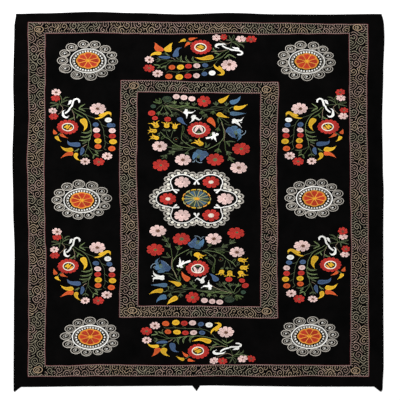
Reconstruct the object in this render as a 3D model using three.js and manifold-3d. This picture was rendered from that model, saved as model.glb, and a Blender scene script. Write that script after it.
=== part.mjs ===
// A suzani: a black cotton cloth worked all over in chain stitch. It lies flat, face up, as one cloth.
// Millimetres, +Z up. The origin is under the middle of the bounding box, and +Y is the cloth's top edge.
// The stitched fields are raised pads on the ground: two scroll bands, six rosettes, six sprays of flowers,
// two bouquets and the middle medallion.
import * as THREE from "three";
import { mergeVertices } from "three/addons/utils/BufferGeometryUtils.js";
import Module from "manifold-3d";

// Driving sizes of the cloth
const HALF_WIDTH = 725;
const HALF_LENGTH = 732;
const GROUND_THICKNESS = 2.0;
const HEM_WIDTH = 13;
const HEM_THICKNESS = 2.6;
const STITCHED_THICKNESS = 3.0;
const PAD_ROOT = 1.0;
const EDGE_STEP = 60;

// Motifs are drawn round, and lie on the cloth flattened top to bottom by this factor
const LAID_HEIGHT = 0.667;

// The middle of the embroidered layout, from the middle of the plain rectangle of the cloth
const DESIGN_Y = 4.3;

// How far each edge wanders out of its straight line, by the place along it
const TOP_EDGE = [
  { along: -716, out: -2 },
  { along: -620, out: 0 },
  { along: -420, out: 5.5 },
  { along: -250, out: 1 },
  { along: -65, out: -4 },
  { along: 120, out: 1.5 },
  { along: 312, out: -4 },
  { along: 500, out: -5 },
  { along: 716, out: -3.2 },
];
const RIGHT_EDGE = [
  { along: -717, out: -2 },
  { along: -637, out: 1.5 },
  { along: -400, out: 0.5 },
  { along: -150, out: 0 },
  { along: 40, out: 1.5 },
  { along: 120, out: -1.5 },
  { along: 306, out: -4 },
  { along: 500, out: 0 },
  { along: 640, out: 4.5 },
  { along: 691, out: 3 },
  { along: 712, out: -0.5 },
  { along: 727, out: -6 },
];
const BOTTOM_EDGE = [
  { along: -696, out: 2.5 },
  { along: -395, out: -0.5 },
  { along: -110, out: -1.5 },
  { along: 45, out: -3.6 },
  { along: 200, out: -1.2 },
  { along: 454, out: 1.3 },
  { along: 692, out: 1 },
];
const LEFT_EDGE = [
  { along: -700, out: 0.5 },
  { along: -400, out: -1 },
  { along: -213, out: -3.5 },
  { along: -24, out: 2 },
  { along: 165, out: 5 },
  { along: 350, out: 0 },
  { along: 450, out: 2 },
  { along: 680, out: -2.5 },
];

// Where the side edges are stepped evenly, and the places near the top right corner, where the edge turns in
const RIGHT_STRETCH = { from: -716, to: 640 };
const RIGHT_CORNER = [691, 712, 727];
const LEFT_STRETCH = { from: 680, to: -700 };

// The three small corners of cloth that hang below the bottom edge
const EARS = [
  { start: -725, tip: -723, end: -696, drop: 22 },
  { start: -23, tip: -6, end: 8, drop: 18.6 },
  { start: 692, tip: 719.5, end: 722, drop: 21 },
];

// The scroll bands, as half sizes of their outer edges, and how far each lies off the layout's middle
const BANDS = {
  outer: { halfX: 670.5, halfY: 695.6, offX: -1.6, offY: -3.0, acrossX: 72, acrossY: 46.5 },
  inner: { halfX: 311, halfY: 465.5, offX: -0.2, offY: -1.0, acrossX: 72.6, acrossY: 49.6 },
};

// Rosettes, by their middles from the layout's middle, all of one size in the round
const ROSETTE = { rimRadius: 95, discRadius: 21, discs: 13, stepsPerDisc: 4 };
const ROSETTES = [
  { name: "upper left", x: -432, y: 546 },
  { name: "upper right", x: 425, y: 542 },
  { name: "middle left", x: -457, y: -3 },
  { name: "middle right", x: 455, y: 3 },
  { name: "lower left", x: -424, y: -541 },
  { name: "lower right", x: 435, y: -543 },
];

// The medallion: six lobes, each an arc of scallops round one flower, and a disc in the middle
const MEDALLION = {
  x: -5.4,
  y: 0,
  lobes: 6,
  lobeDistance: 112.6,
  arcRadius: 61,
  arcHalfAngle: 98,
  cordRadius: 45,
  scallops: 6,
  scallopRadius: 14.5,
  flowerRadius: 31,
  discRadius: 57,
};

// The spray, drawn round about its own middle. A flower and a disc have a radius.
// A pod runs from its round head to its tip. A scroll is a ribbon.
const SPRAY_ROUNDS = [
  { form: "flower", x: -105, y: 205, radius: 19.5 },
  { form: "flower", x: -107, y: 169, radius: 17.5 },
  { form: "flower", x: -119, y: 94, radius: 16.5 },
  { form: "flower", x: -116, y: 62, radius: 17.5 },
  { form: "flower", x: 56, y: 107, radius: 32 },
  { form: "flower", x: 94, y: -170, radius: 21 },
  { form: "flower", x: 9, y: -202, radius: 19.5 },
  { form: "flower", x: 62, y: -204, radius: 22 },
  { form: "bloom", x: -62, y: 0, radius: 44 },
  { form: "disc", x: 98, y: 41, radius: 15 },
  { form: "disc", x: 49, y: 14, radius: 14 },
  { form: "disc", x: 109, y: 11, radius: 15 },
  { form: "disc", x: 53, y: -19, radius: 15 },
  { form: "disc", x: 113, y: -21, radius: 16 },
  { form: "disc", x: 54, y: -51, radius: 14 },
  { form: "disc", x: 113, y: -54, radius: 15 },
  { form: "disc", x: 58, y: -82, radius: 16 },
  { form: "disc", x: 117, y: -87, radius: 16.5 },
  { form: "disc", x: 58, y: -115, radius: 14.5 },
  { form: "disc", x: 112, y: -127, radius: 16 },
];
const SPRAY_PODS = [
  { x: 4, y: 29, tipX: 0, tipY: -27, width: 30 },
  { x: -84, y: -48, tipX: -63, tipY: -64, width: 17 },
  { x: -23, y: -101, tipX: -58, tipY: -81, width: 27 },
  { x: -4, y: -136, tipX: -10, tipY: -161, width: 20 },
  { x: -48, y: -131, tipX: -86, tipY: -118, width: 26 },
  { x: -52, y: -158, tipX: -86, tipY: -180, width: 24 },
  { x: -26, y: -167, tipX: -13, tipY: -199, width: 20 },
  { x: 84, y: 70, tipX: 41, tipY: 50, width: 22 },
];
const SPRAY_SCROLL = [
  { x: -14, y: 141 },
  { x: -25, y: 163 },
  { x: -40, y: 151 },
  { x: -44, y: 125 },
  { x: -57, y: 100 },
  { x: -73, y: 84 },
  { x: -70, y: 61 },
  { x: -57, y: 64 },
];
const SCROLL_WIDTH = 12;

// Where the sprays' middles lie, from the layout's middle, with the turn and the mirror that lay them
const SPRAYS = [
  { name: "left upper", x: -452.5, y: 283, turn: 0, mirror: 1 },
  { name: "left lower", x: -453.5, y: -263, turn: 0, mirror: 1 },
  { name: "right upper", x: 453, y: 284.5, turn: 0, mirror: -1 },
  { name: "right lower", x: 457, y: -261, turn: 0, mirror: -1 },
  { name: "top", x: 10.5, y: 558, turn: -90, mirror: 1 },
  { name: "bottom", x: 2, y: -563, turn: -90, mirror: -1 },
];

// One bouquet, drawn round from the layout's middle. The other is this one turned half round
const BOUQUET_ROUNDS = [
  { form: "flower", x: 21, y: 576, radius: 28 },
  { form: "bloom", x: 2, y: 407, radius: 47 },
  { form: "flower", x: -152, y: 309, radius: 31 },
  { form: "flower", x: -145, y: 199, radius: 34 },
  { form: "flower", x: -59, y: 230, radius: 33 },
  { form: "flower", x: 65, y: 232, radius: 35 },
  { form: "flower", x: 169, y: 296, radius: 35 },
  { form: "flower", x: 158, y: 185, radius: 35 },
  { form: "disc", x: -86, y: 602, radius: 16 },
  { form: "disc", x: -56, y: 599, radius: 16 },
  { form: "disc", x: -25, y: 590, radius: 16 },
  { form: "disc", x: -183, y: 505, radius: 16 },
  { form: "disc", x: -170, y: 475, radius: 13 },
  { form: "disc", x: -120, y: 469, radius: 14 },
];
const BOUQUET_PODS = [
  { x: 92, y: 583, tipX: 117, tipY: 608, width: 28 },
  { x: 138, y: 577, tipX: 164, tipY: 600, width: 28 },
  { x: 153, y: 540, tipX: 190, tipY: 553, width: 28 },
  { x: 142, y: 504, tipX: 182, tipY: 502, width: 24 },
  { x: 82, y: 496, tipX: 118, tipY: 479, width: 26 },
  { x: 46, y: 466, tipX: 65, tipY: 427, width: 24 },
  { x: -70, y: 468, tipX: -47, tipY: 438, width: 24 },
  { x: -51, y: 508, tipX: -20, tipY: 518, width: 26 },
  { x: -18, y: 480, tipX: -30, tipY: 450, width: 26 },
  { x: 147, y: 460, tipX: 168, tipY: 423, width: 30 },
  { x: 66, y: 380, tipX: 32, tipY: 358, width: 30 },
  { x: 146, y: 396, tipX: 155, tipY: 352, width: 46 },
  { x: 10, y: 268, tipX: -8, tipY: 226, width: 44 },
  { x: 6, y: 326, tipX: -4, tipY: 356, width: 30 },
  { x: -165, y: 437, tipX: -158, tipY: 463, width: 32 },
  { x: -124, y: 434, tipX: -124, tipY: 456, width: 28 },
  { x: -92, y: 426, tipX: -90, tipY: 448, width: 26 },
  { x: -174, y: 399, tipX: -194, tipY: 410, width: 28 },
  { x: -170, y: 360, tipX: -188, tipY: 374, width: 26 },
];

const FLOWER_PETALS = 5;
const FLOWER_VALLEY = 0.78;
const BLOOM_POINTS = 16;
const DISC_POINTS = 7;

// A number that runs smoothly through an edge's rows, by the place along the edge
function wander(rows, along) {
  const last = rows.length - 1;
  if (along <= rows[0].along) return rows[0].out;
  if (along >= rows[last].along) return rows[last].out;
  const next = rows.findIndex((row) => row.along > along);
  const a = rows[next - 1];
  const b = rows[next];
  const part = (along - a.along) / (b.along - a.along);
  return a.out + (b.out - a.out) * part * part * (3 - 2 * part);
}

// Places from one end of a stretch up to the other, both with their ends
function places(from, to) {
  const count = Math.max(1, Math.round(Math.abs(to - from) / EDGE_STEP));
  return Array.from({ length: count + 1 }, (_, i) => from + ((to - from) * i) / count);
}

// The cloth's outline, counterclockwise from the bottom left, drawn in by an inset for the hem's inner line
function outline(inset, withEars) {
  const points = [];
  const add = (x, y) => points.push(new THREE.Vector2(x, y));
  const bottomY = (x) => -HALF_LENGTH + inset - wander(BOTTOM_EDGE, x);
  const bottom = (from, to) => places(from, to).forEach((x) => add(x, bottomY(x)));
  const reachX = HALF_WIDTH - inset;
  if (withEars) {
    EARS.forEach((ear, i) => {
      const next = EARS[i + 1];
      if (i === 0) add(ear.start, bottomY(ear.start));
      add(ear.tip, -HALF_LENGTH - ear.drop);
      if (next) bottom(ear.end, next.start);
    });
  } else {
    bottom(-reachX, reachX);
  }
  const top = TOP_EDGE[TOP_EDGE.length - 1].along;
  [...places(RIGHT_STRETCH.from, RIGHT_STRETCH.to), ...RIGHT_CORNER].forEach((y) => {
    if (Math.abs(y) < HALF_LENGTH - inset - 1) add(reachX + wander(RIGHT_EDGE, y), y);
  });
  const topRight = Math.min(top, reachX);
  const topLeft = Math.max(TOP_EDGE[0].along, -reachX);
  places(topRight, topLeft).forEach((x) => add(x, HALF_LENGTH - inset + wander(TOP_EDGE, x)));
  places(LEFT_STRETCH.from, LEFT_STRETCH.to).forEach((y) => add(-reachX - wander(LEFT_EDGE, y), y));
  return points;
}

// The pads' outlines, drawn round about a place

function circle(x, y, radius, count) {
  return Array.from({ length: count }, (_, i) => {
    const angle = (2 * Math.PI * (i + 0.5)) / count;
    return new THREE.Vector2(x + radius * Math.cos(angle), y + radius * Math.sin(angle));
  });
}

function flower(x, y, radius) {
  return Array.from({ length: 2 * FLOWER_PETALS }, (_, i) => {
    const angle = Math.PI / 2 + (Math.PI * i) / FLOWER_PETALS;
    const reach = i % 2 ? radius * FLOWER_VALLEY : radius;
    return new THREE.Vector2(x + reach * Math.cos(angle), y + reach * Math.sin(angle));
  });
}

function round({ form, x, y, radius }) {
  if (form === "flower") return flower(x, y, radius);
  return circle(x, y, radius, form === "bloom" ? BLOOM_POINTS : DISC_POINTS);
}

function pod({ x, y, tipX, tipY, width }) {
  const head = new THREE.Vector2(x, y);
  const tip = new THREE.Vector2(tipX, tipY);
  const ahead = tip.clone().sub(head).normalize();
  const side = new THREE.Vector2(-ahead.y, ahead.x);
  const at = (along, across) => head.clone().addScaledVector(ahead, along).addScaledVector(side, across);
  const half = width / 2;
  return [tip, at(0, half), at(-half * 0.8, half * 0.6), at(-half * 0.8, -half * 0.6), at(0, -half)];
}

// A ribbon of even width along a line of points, with pointed ends
function ribbon(path, width) {
  const line = path.map(({ x, y }) => new THREE.Vector2(x, y));
  const last = line.length - 1;
  const offset = (i, half) => {
    const ahead = line[Math.min(i + 1, last)].clone().sub(line[Math.max(i - 1, 0)]).normalize();
    return new THREE.Vector2(line[i].x - ahead.y * half, line[i].y + ahead.x * half);
  };
  const inner = line.slice(1, last).map((_, i) => offset(i + 1, width / 2));
  const outer = line.slice(1, last).map((_, i) => offset(i + 1, -width / 2));
  return [line[0], ...outer, line[last], ...inner.reverse()];
}

function rosetteRim() {
  const { rimRadius, discRadius, discs, stepsPerDisc } = ROSETTE;
  const count = discs * stepsPerDisc;
  return Array.from({ length: count }, (_, i) => {
    const swell = Math.abs(Math.sin((Math.PI * i) / stepsPerDisc));
    const reach = rimRadius + discRadius * (0.35 + 0.65 * swell);
    const angle = (2 * Math.PI * i) / count;
    return new THREE.Vector2(reach * Math.cos(angle), reach * Math.sin(angle));
  });
}

// The medallion's white ring, one scalloped lobe after another, with a cord line inside it
function medallionRing() {
  const { lobes, lobeDistance, arcRadius, arcHalfAngle, scallops, scallopRadius, cordRadius } = MEDALLION;
  const stepsPerScallop = 3;
  const half = THREE.MathUtils.degToRad(arcHalfAngle);
  const lobePoints = (reachAt, count) => {
    const points = [];
    for (let lobe = 0; lobe < lobes; lobe += 1) {
      const facing = (2 * Math.PI * lobe) / lobes;
      for (let i = 0; i < count; i += 1) {
        const angle = facing - half + (2 * half * (i + 0.5)) / count;
        const reach = reachAt(i);
        const x = lobeDistance * Math.cos(facing) + reach * Math.cos(angle);
        points.push(new THREE.Vector2(x, lobeDistance * Math.sin(facing) + reach * Math.sin(angle)));
      }
    }
    return points;
  };
  const swell = (i) => Math.abs(Math.sin((Math.PI * (i + 0.5)) / stepsPerScallop));
  const outer = lobePoints((i) => arcRadius + scallopRadius * swell(i), scallops * stepsPerScallop);
  const inner = lobePoints(() => cordRadius, 9);
  return { outer, inner };
}

// Laying: a drawing in the round goes to its place on the cloth, turned, mirrored and flattened
function lay(points, { x = 0, y = 0, turn = 0, mirror = 1 } = {}) {
  const angle = THREE.MathUtils.degToRad(turn);
  const laid = points.map((p) => {
    const across = p.x * mirror;
    const turnedX = across * Math.cos(angle) - p.y * Math.sin(angle);
    const turnedY = across * Math.sin(angle) + p.y * Math.cos(angle);
    return new THREE.Vector2(x + turnedX, y + DESIGN_Y + turnedY * LAID_HEIGHT);
  });
  return laid;
}

// Solids

const wasm = await Module();
wasm.setup();

// A flat plate of an outline, with holes, between two heights
function plate(points, low, high, holes = []) {
  const shape = new THREE.Shape(points);
  holes.forEach((hole) => shape.holes.push(new THREE.Path(hole)));
  const geometry = new THREE.ExtrudeGeometry(shape, { depth: high - low, bevelEnabled: false });
  geometry.translate(0, 0, low);
  geometry.deleteAttribute("normal");
  geometry.deleteAttribute("uv");
  const merged = mergeVertices(geometry, 1e-3);
  return new wasm.Manifold(
    new wasm.Mesh({
      numProp: 3,
      vertProperties: merged.attributes.position.array,
      triVerts: new Uint32Array(merged.index.array),
    }),
  );
}

const pad = (points, holes = []) => plate(points, PAD_ROOT, STITCHED_THICKNESS, holes);

function rectangle(halfX, halfY, offX, offY) {
  const y = offY + DESIGN_Y;
  return [
    new THREE.Vector2(offX - halfX, y - halfY),
    new THREE.Vector2(offX + halfX, y - halfY),
    new THREE.Vector2(offX + halfX, y + halfY),
    new THREE.Vector2(offX - halfX, y + halfY),
  ];
}

function bandPads() {
  return Object.values(BANDS).map(({ halfX, halfY, offX, offY, acrossX, acrossY }) =>
    pad(rectangle(halfX, halfY, offX, offY), [rectangle(halfX - acrossX, halfY - acrossY, offX, offY)]),
  );
}

function sprayPads() {
  return SPRAYS.flatMap((place) => [
    ...SPRAY_ROUNDS.map((row) => pad(lay(round(row), place))),
    ...SPRAY_PODS.map((row) => pad(lay(pod(row), place))),
    pad(lay(ribbon(SPRAY_SCROLL, SCROLL_WIDTH), place)),
  ]);
}

function bouquetPads() {
  return [0, 180].flatMap((turn) => [
    ...BOUQUET_ROUNDS.map((row) => pad(lay(round(row), { turn }))),
    ...BOUQUET_PODS.map((row) => pad(lay(pod(row), { turn }))),
  ]);
}

function medallionPads() {
  const { x, y, lobes, lobeDistance, flowerRadius, discRadius } = MEDALLION;
  const { outer, inner } = medallionRing();
  const place = { x, y };
  const flowers = Array.from({ length: lobes }, (_, i) => {
    const facing = (2 * Math.PI * i) / lobes;
    return flower(lobeDistance * Math.cos(facing), lobeDistance * Math.sin(facing), flowerRadius);
  });
  return [
    pad(lay(outer, place), [lay(inner, place)]),
    pad(lay(circle(0, 0, discRadius, BLOOM_POINTS), place)),
    ...flowers.map((points) => pad(lay(points, place))),
  ];
}

const edge = outline(0, true);
const ground = plate(edge, 0, GROUND_THICKNESS);
const hem = plate(edge, PAD_ROOT, HEM_THICKNESS, [outline(HEM_WIDTH, false)]);
const rosettePads = ROSETTES.map((place) => pad(lay(rosetteRim(), place)));
const cloth = wasm.Manifold.union([
  ground,
  hem,
  ...bandPads(),
  ...rosettePads,
  ...sprayPads(),
  ...bouquetPads(),
  ...medallionPads(),
]);

// The solid's faces as a mesh, moved so that the origin is under the middle of its box
const { vertProperties, triVerts } = cloth.getMesh();
const geometry = new THREE.BufferGeometry();
geometry.setAttribute("position", new THREE.BufferAttribute(vertProperties, 3));
geometry.setIndex(new THREE.BufferAttribute(triVerts, 1));
geometry.computeBoundingBox();
const middle = geometry.boundingBox.getCenter(new THREE.Vector3());
geometry.translate(-middle.x, -middle.y, 0);
geometry.computeVertexNormals();

const blackCotton = new THREE.MeshStandardMaterial({ color: 0x0b0b0c, roughness: 0.8, metalness: 0 });
const groundCloth = new THREE.Mesh(geometry, blackCotton);
groundCloth.name = "ground_cloth";

const suzani = new THREE.Group();
suzani.add(groundCloth);

export default suzani;
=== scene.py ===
"""A suzani: a black cotton cloth worked all over in chain stitch, laid flat and face up.

The cloth is one fine sheet with its turned hem, its seams and its soft unevenness.
All the embroidery is made of strands. A strand is a line of stitches with a width. Each motif is
drawn in millimetres, round about its own middle, and then laid on the cloth, flattened top to bottom.
Geometry Nodes sweep the strands into rows of chain stitch, one mesh for each thread and field.
"""

import math
from collections import namedtuple

import bmesh
import bpy
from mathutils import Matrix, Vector, noise


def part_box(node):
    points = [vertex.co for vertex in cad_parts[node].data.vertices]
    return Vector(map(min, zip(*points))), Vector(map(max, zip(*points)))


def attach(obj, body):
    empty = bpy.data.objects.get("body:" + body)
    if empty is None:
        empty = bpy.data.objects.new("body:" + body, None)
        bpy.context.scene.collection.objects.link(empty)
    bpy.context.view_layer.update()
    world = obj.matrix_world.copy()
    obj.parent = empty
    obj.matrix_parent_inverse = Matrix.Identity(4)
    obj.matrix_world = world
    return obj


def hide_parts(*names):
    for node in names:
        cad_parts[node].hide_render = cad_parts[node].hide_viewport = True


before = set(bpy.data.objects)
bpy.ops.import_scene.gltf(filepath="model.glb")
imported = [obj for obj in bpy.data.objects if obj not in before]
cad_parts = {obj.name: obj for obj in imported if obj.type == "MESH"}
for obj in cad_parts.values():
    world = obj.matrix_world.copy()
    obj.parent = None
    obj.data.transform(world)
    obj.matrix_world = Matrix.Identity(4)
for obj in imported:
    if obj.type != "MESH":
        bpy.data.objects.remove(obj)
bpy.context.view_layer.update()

# Sizes of the cloth, in millimetres, as in the solids: its left edge bows out by the swell, and its small
# corners hang below the bottom edge by the drop
MM = 0.001
HALF_WIDTH = 725
HALF_LENGTH = 732
GROUND_THICKNESS = 2.0
HEM_WIDTH = 13
HEM_RISE = 0.6
LEFT_SWELL = 5.0
SMALL_CORNER_DROP = 22.0
# Below this length a stretch of an edge runs straight, and above it the edge bows
SHARPEST_BOW = 40

# Motifs are drawn round and laid with this share of their height
LAID_HEIGHT = 0.667
# The layout's middle lies this far above the cloth's
DESIGN_Y = 4.3

# The photograph: 400 pixels each way, with the cloth and its small corners 372 pixels wide in it
PHOTO_PIXELS = 400
PHOTO_CLOTH_PIXELS = 372.0
PHOTO_CLOTH_MIDDLE = (198.35, 201.9)

# The thread: the widths of its rows from full to finest, and how far apart rows lie
CORD = 3.5
FINE_CORD = 2.6
TIP_WIDTH = 2.2
HAIR_CORD = 2.0
LEAF_CORD = 1.7
STEM_CORD = 1.6
PITCH = 4.2
FINE_PITCH = 2.6
LEAF_PITCH = 4.8
STITCH_LENGTH = 6.4
# A strand's middle lies at this share of its width above the cloth, less what it sinks in
STRAND_SEAT = 0.36
STRAND_SINK = 0.35
# A patch of close stitch under a filled motif, in a darker tone that is painted shade between the rows above
# it
PATCH_RISE = 0.75
PATCH_SINK = 0.6
PATCH_PAINTED_SHADE_TONE = 0.2
# Light and dark rows: 0 is the darkest tone of a thread, and 1 the lightest. The outer rows' lighter tone is
# a painted highlight, and the darker tone of inner rows, berries' middles and patches is painted shade
OUTER_ROW_PAINTED_HIGHLIGHT_TONE = 0.75
INNER_ROW_PAINTED_SHADE_TONE = 0.3
BERRY_MIDDLE_PAINTED_SHADE_TONE = 0.25
TONE_SPREAD = 0.3

# Places are measured from the layout's middle. The frame's box gives where that is.
low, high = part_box("ground_cloth")
MIDDLE_X = low[0] / MM + HALF_WIDTH + LEFT_SWELL
MIDDLE_Y = low[1] / MM + HALF_LENGTH + SMALL_CORNER_DROP + DESIGN_Y
MM_PER_PIXEL = (high[0] - low[0]) / MM / PHOTO_CLOTH_PIXELS

Strand = namedtuple("Strand", "points width closed lift tone")
Patch = namedtuple("Patch", "points lift")
# A motif's place on the cloth: its middle, its turn in degrees, 1 or -1 for mirrored, and its nudges. A nudge
# is x, y, how far it reaches, and how much it moves what lies there in x and y, all in the drawing
Place = namedtuple("Place", "x y turn mirror nudges", defaults=((),))


# Lines and shapes, all lists of (x, y) in millimetres


def smooth(points, steps):
    """A round line through points, by Catmull and Rom's rule."""
    last = len(points) - 1
    if last < 2:
        return list(points)
    made = []
    for i in range(last):
        a, b, c, d = (points[min(max(i + k, 0), last)] for k in (-1, 0, 1, 2))
        for step in range(steps):
            t = step / steps
            made.append(tuple(
                0.5 * (2 * b[k] + (c[k] - a[k]) * t + (2 * a[k] - 5 * b[k] + 4 * c[k] - d[k]) * t * t
                       + (3 * b[k] - a[k] - 3 * c[k] + d[k]) * t ** 3)
                for k in (0, 1)
            ))
    made.append(tuple(points[-1]))
    return made


def wander(rows, along):
    """How far an edge lies out of its straight line at a place along it, from rows of (along, out)."""
    if along <= rows[0][0]:
        return rows[0][1]
    for (a, out_a), (b, out_b) in zip(rows, rows[1:]):
        if along <= b:
            t = (along - a) / (b - a)
            if b - a > SHARPEST_BOW:
                t = t * t * (3 - 2 * t)
            return out_a + (out_b - out_a) * t
    return rows[-1][1]


def polar(x, y, reach, degrees):
    angle = math.radians(degrees)
    return (x + reach * math.cos(angle), y + reach * math.sin(angle))


def ellipse(x, y, long_half, wide_half, degrees=0, count=14):
    """An ellipse whose long axis points to an angle."""
    c, s = math.cos(math.radians(degrees)), math.sin(math.radians(degrees))
    made = []
    for i in range(count):
        angle = math.tau * i / count
        u, v = long_half * math.cos(angle), wide_half * math.sin(angle)
        made.append((x + u * c - v * s, y + u * s + v * c))
    return made


def ring(x, y, radius, count):
    return ellipse(x, y, radius, radius, count=count)


# Motifs: each returns strands and patches in the round


def line(points, width=CORD, lift=0.0, tone=0.5):
    return [Strand(points, width, False, lift, tone)]


def loop(points, width=CORD, lift=0.0, tone=0.5):
    return [Strand(points, width, True, lift, tone)]


def spiral(x, y, radius, pitch=PITCH, width=CORD, start=0.0, lift=0.0, hub=0.0, tone=0.5):
    """One cord wound from the middle, or from a hub about it, out to a radius."""
    reach = radius - width / 2
    turns = max(0.8, (reach - hub) / pitch)
    points_a_turn = 11
    count = max(8, int(turns * points_a_turn))
    points = [
        polar(x, y, hub + (reach - hub) * i / count, start + 360 * turns * i / count)
        for i in range(count + 1)
    ]
    return line(points, width, lift, tone)


def berry(x, y, radius):
    """A berry: a wound disc on a patch of its own thread."""
    patch = Patch(ring(x, y, radius - 1.8, 16), 0)
    # the rim's lighter tone is a painted highlight, and the wound middle's darker tone is painted shade
    rim = loop(ring(x, y, radius - 2.2, 18), CORD, 0.0, OUTER_ROW_PAINTED_HIGHLIGHT_TONE)
    return [patch] + rim + spiral(x, y, radius - 4.6, PITCH, start=x * 7, hub=1.5, tone=BERRY_MIDDLE_PAINTED_SHADE_TONE)


# The thread of a berry's middle stitch, by the berry's own
BERRY_MIDDLES = {
    "yellow": "orange",
    "orange": "red",
    "pink": "taupe",
    "red": "crimson",
    "blue": "slate",
    "white": "silver",
    "deep_green": "olive",
}


def lobed(x, y, radius, lobes, depth, turn=90.0):
    """A round outline with soft lobes, as of a flower."""
    steps = 6
    made = []
    for i in range(lobes * steps):
        bend = abs(math.cos(math.pi * i / steps)) ** 0.6
        made.append(polar(x, y, radius * (1 - depth * (1 - bend)), turn + 360 * i / (lobes * steps)))
    return made


def round_end(t):
    return math.sqrt(max(0.0, 1 - (1 - t) ** 2))


def curl_width(t):
    swell = 0.3 + 0.7 * math.sin(math.pi * min(1.0, t) ** 1.15) ** 1.4
    return swell * min(1.0, 9 * t + 0.3, 9 * (1 - t))


# How wide a form is at each share t of its length, as a share of its full width
PROFILES = {
    "pod": lambda t: round_end(t / 0.22) if t < 0.22 else 1 - ((t - 0.22) / 0.78) ** 1.15,
    "petal": lambda t: 0.3 + 0.7 * (t / 0.6) ** 0.9 if t < 0.6 else round_end((1 - t) / 0.4),
    "round": lambda t: 0.4 + 0.6 * (t / 0.7) ** 0.9 if t < 0.7 else round_end((1 - t) / 0.3),
    "leaf": lambda t: math.sin(math.pi * min(1.0, max(0.0, t)) ** 0.9) ** 0.8,
    "ribbon": lambda t: round_end(min(t, 1 - t) / 0.1) if min(t, 1 - t) < 0.1 else 1.0,
    "club": lambda t: 0.45 + 0.55 * (t / 0.8) ** 1.3 if t < 0.8 else round_end((1 - t) / 0.2),
    "curl": curl_width,
}
STRAIGHT_STEPS = 10
FORM_PATCH_INSET = 1.2
NARROWEST_PATCHED = 6


def blade(path, width, profile="leaf", lift=0.0, pitch=PITCH, backed=True, cord=CORD):
    """A form along a path: nested rows of stitch that follow its sides, drawn out to a thin tip.
    The outer row is painted lighter than the rows within it: a painted highlight on the outer row and painted
    shade on the rows within."""
    if len(path) == 2:
        (x0, y0), (x1, y1) = path
        spine = [(x0 + (x1 - x0) * i / STRAIGHT_STEPS, y0 + (y1 - y0) * i / STRAIGHT_STEPS)
                 for i in range(STRAIGHT_STEPS + 1)]
    else:
        spine = smooth(path, 7 if len(path) < 5 else 5)
    last = len(spine) - 1
    halves = [PROFILES[profile](i / last) * width / 2 for i in range(last + 1)]
    sides = []
    for i in range(last + 1):
        ax, ay = spine[max(i - 1, 0)]
        bx, by = spine[min(i + 1, last)]
        reach = math.hypot(bx - ax, by - ay) or 1.0
        sides.append((-(by - ay) / reach, (bx - ax) / reach))

    def row(inset):
        """The outline, drawn in by an inset: up one side and back down the other."""
        wide = [i for i in range(last + 1) if halves[i] > inset]
        if len(wide) < 3:
            return None
        kept = range(wide[0], wide[-1] + 1)

        def beside(i, way):
            off = way * max(halves[i] - inset, 0.1)
            return (spine[i][0] + sides[i][0] * off, spine[i][1] + sides[i][1] * off)

        return [beside(i, 1) for i in kept] + [beside(i, -1) for i in reversed(kept)]

    made = []
    outline = row(FORM_PATCH_INSET)
    if outline and backed and width > NARROWEST_PATCHED:
        made.append(Patch(outline, lift))
    inset = cord / 2
    while inset < width / 2:
        points = row(inset)
        if points is None:
            break
        # the outer row's lighter tone is a painted highlight, the inner rows' darker tone painted shade
        made += loop(points, cord, lift, OUTER_ROW_PAINTED_HIGHLIGHT_TONE if inset < pitch else INNER_ROW_PAINTED_SHADE_TONE)
        inset += pitch
    full = [i for i in range(last + 1) if halves[i] > cord / 2]
    if len(full) < 3:
        return made + line(spine, min(cord, max(width, TIP_WIDTH)), lift)
    tip = spine[full[-1]:]
    if len(tip) > 1 and math.dist(tip[0], tip[-1]) > 3:
        made += line(tip, TIP_WIDTH, lift)
    return made


def leaf(path, width):
    """A slim leaf of fine rows, with bare ground between them."""
    return blade(path, width, "leaf", pitch=LEAF_PITCH, backed=False, cord=LEAF_CORD)


def petal_turn(x, y):
    """Where a flower's first petal points: each flower is turned its own way by its place."""
    return 90 + (x * 3.7 + y) % 40


def flower(x, y, radius, count, tall=1.0):
    """A flower head: round petals that meet about an eye, which is a thread of its own."""
    made = [Patch(ring(x, y, radius * 0.55, 16), -0.3)]
    across = 2 * radius * 0.73 * math.sin(math.pi / count)
    for i in range(count):
        heading = petal_turn(x, y) + 360 * i / count
        made += blade([polar(x, y, radius * 0.2, heading), polar(x, y, radius, heading)], across, "round")
    if tall != 1.0:
        made = [part._replace(points=[(px, y + (py - y) * tall) for px, py in part.points]) for part in made]
    return made


def petal_lines(x, y, radius, count):
    """The thin lines that part a flower's petals."""
    made = []
    turn = petal_turn(x, y) + 180 / count
    for i in range(count):
        ends = [polar(x, y, radius * reach, turn + 360 * i / count) for reach in (0.3, 0.74)]
        made += line(ends, HAIR_CORD, 1.15, 0.0)
    return made


PETAL_LINES = {"red": "crimson", "pink": "blush"}


def eye(x, y, radius):
    patch = Patch(ring(x, y, radius, 10), 0.9)
    return [patch] + spiral(x, y, radius + 0.8, 3.0, FINE_CORD, lift=1.1)


def fan(x, y, heading, size):
    """A three-lobed leaf that opens from its stem."""
    spread = 34.0
    made = []
    for side, share in ((-1, 0.78), (0, 0.94), (1, 0.78)):
        toward = heading + side * spread
        bend = polar(x, y, size * share * 0.5, toward - side * 9)
        made += leaf([(x, y), bend, polar(x, y, size * share, toward)], size * 0.2)
    return made


def stem(path):
    return line(smooth(path, 5), STEM_CORD, -0.1)


def bell(x, y, heading, size):
    """A bell flower: a full cup with three tips that curl away from each other."""
    base = polar(x, y, -size * 0.62, heading)
    made = blade([base, polar(x, y, size * 0.18, heading)], size * 0.84, "leaf")
    for side, reach in ((-1, 1.02), (0, 0.8), (1, 1.02)):
        foot = polar(x, y, size * 0.24, heading + side * 105)
        bend = polar(x, y, size * 0.52, heading + side * 36)
        made += blade([foot, bend, polar(x, y, size * reach, heading + side * 52)], size * 0.31, "pod")
    return made


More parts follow.
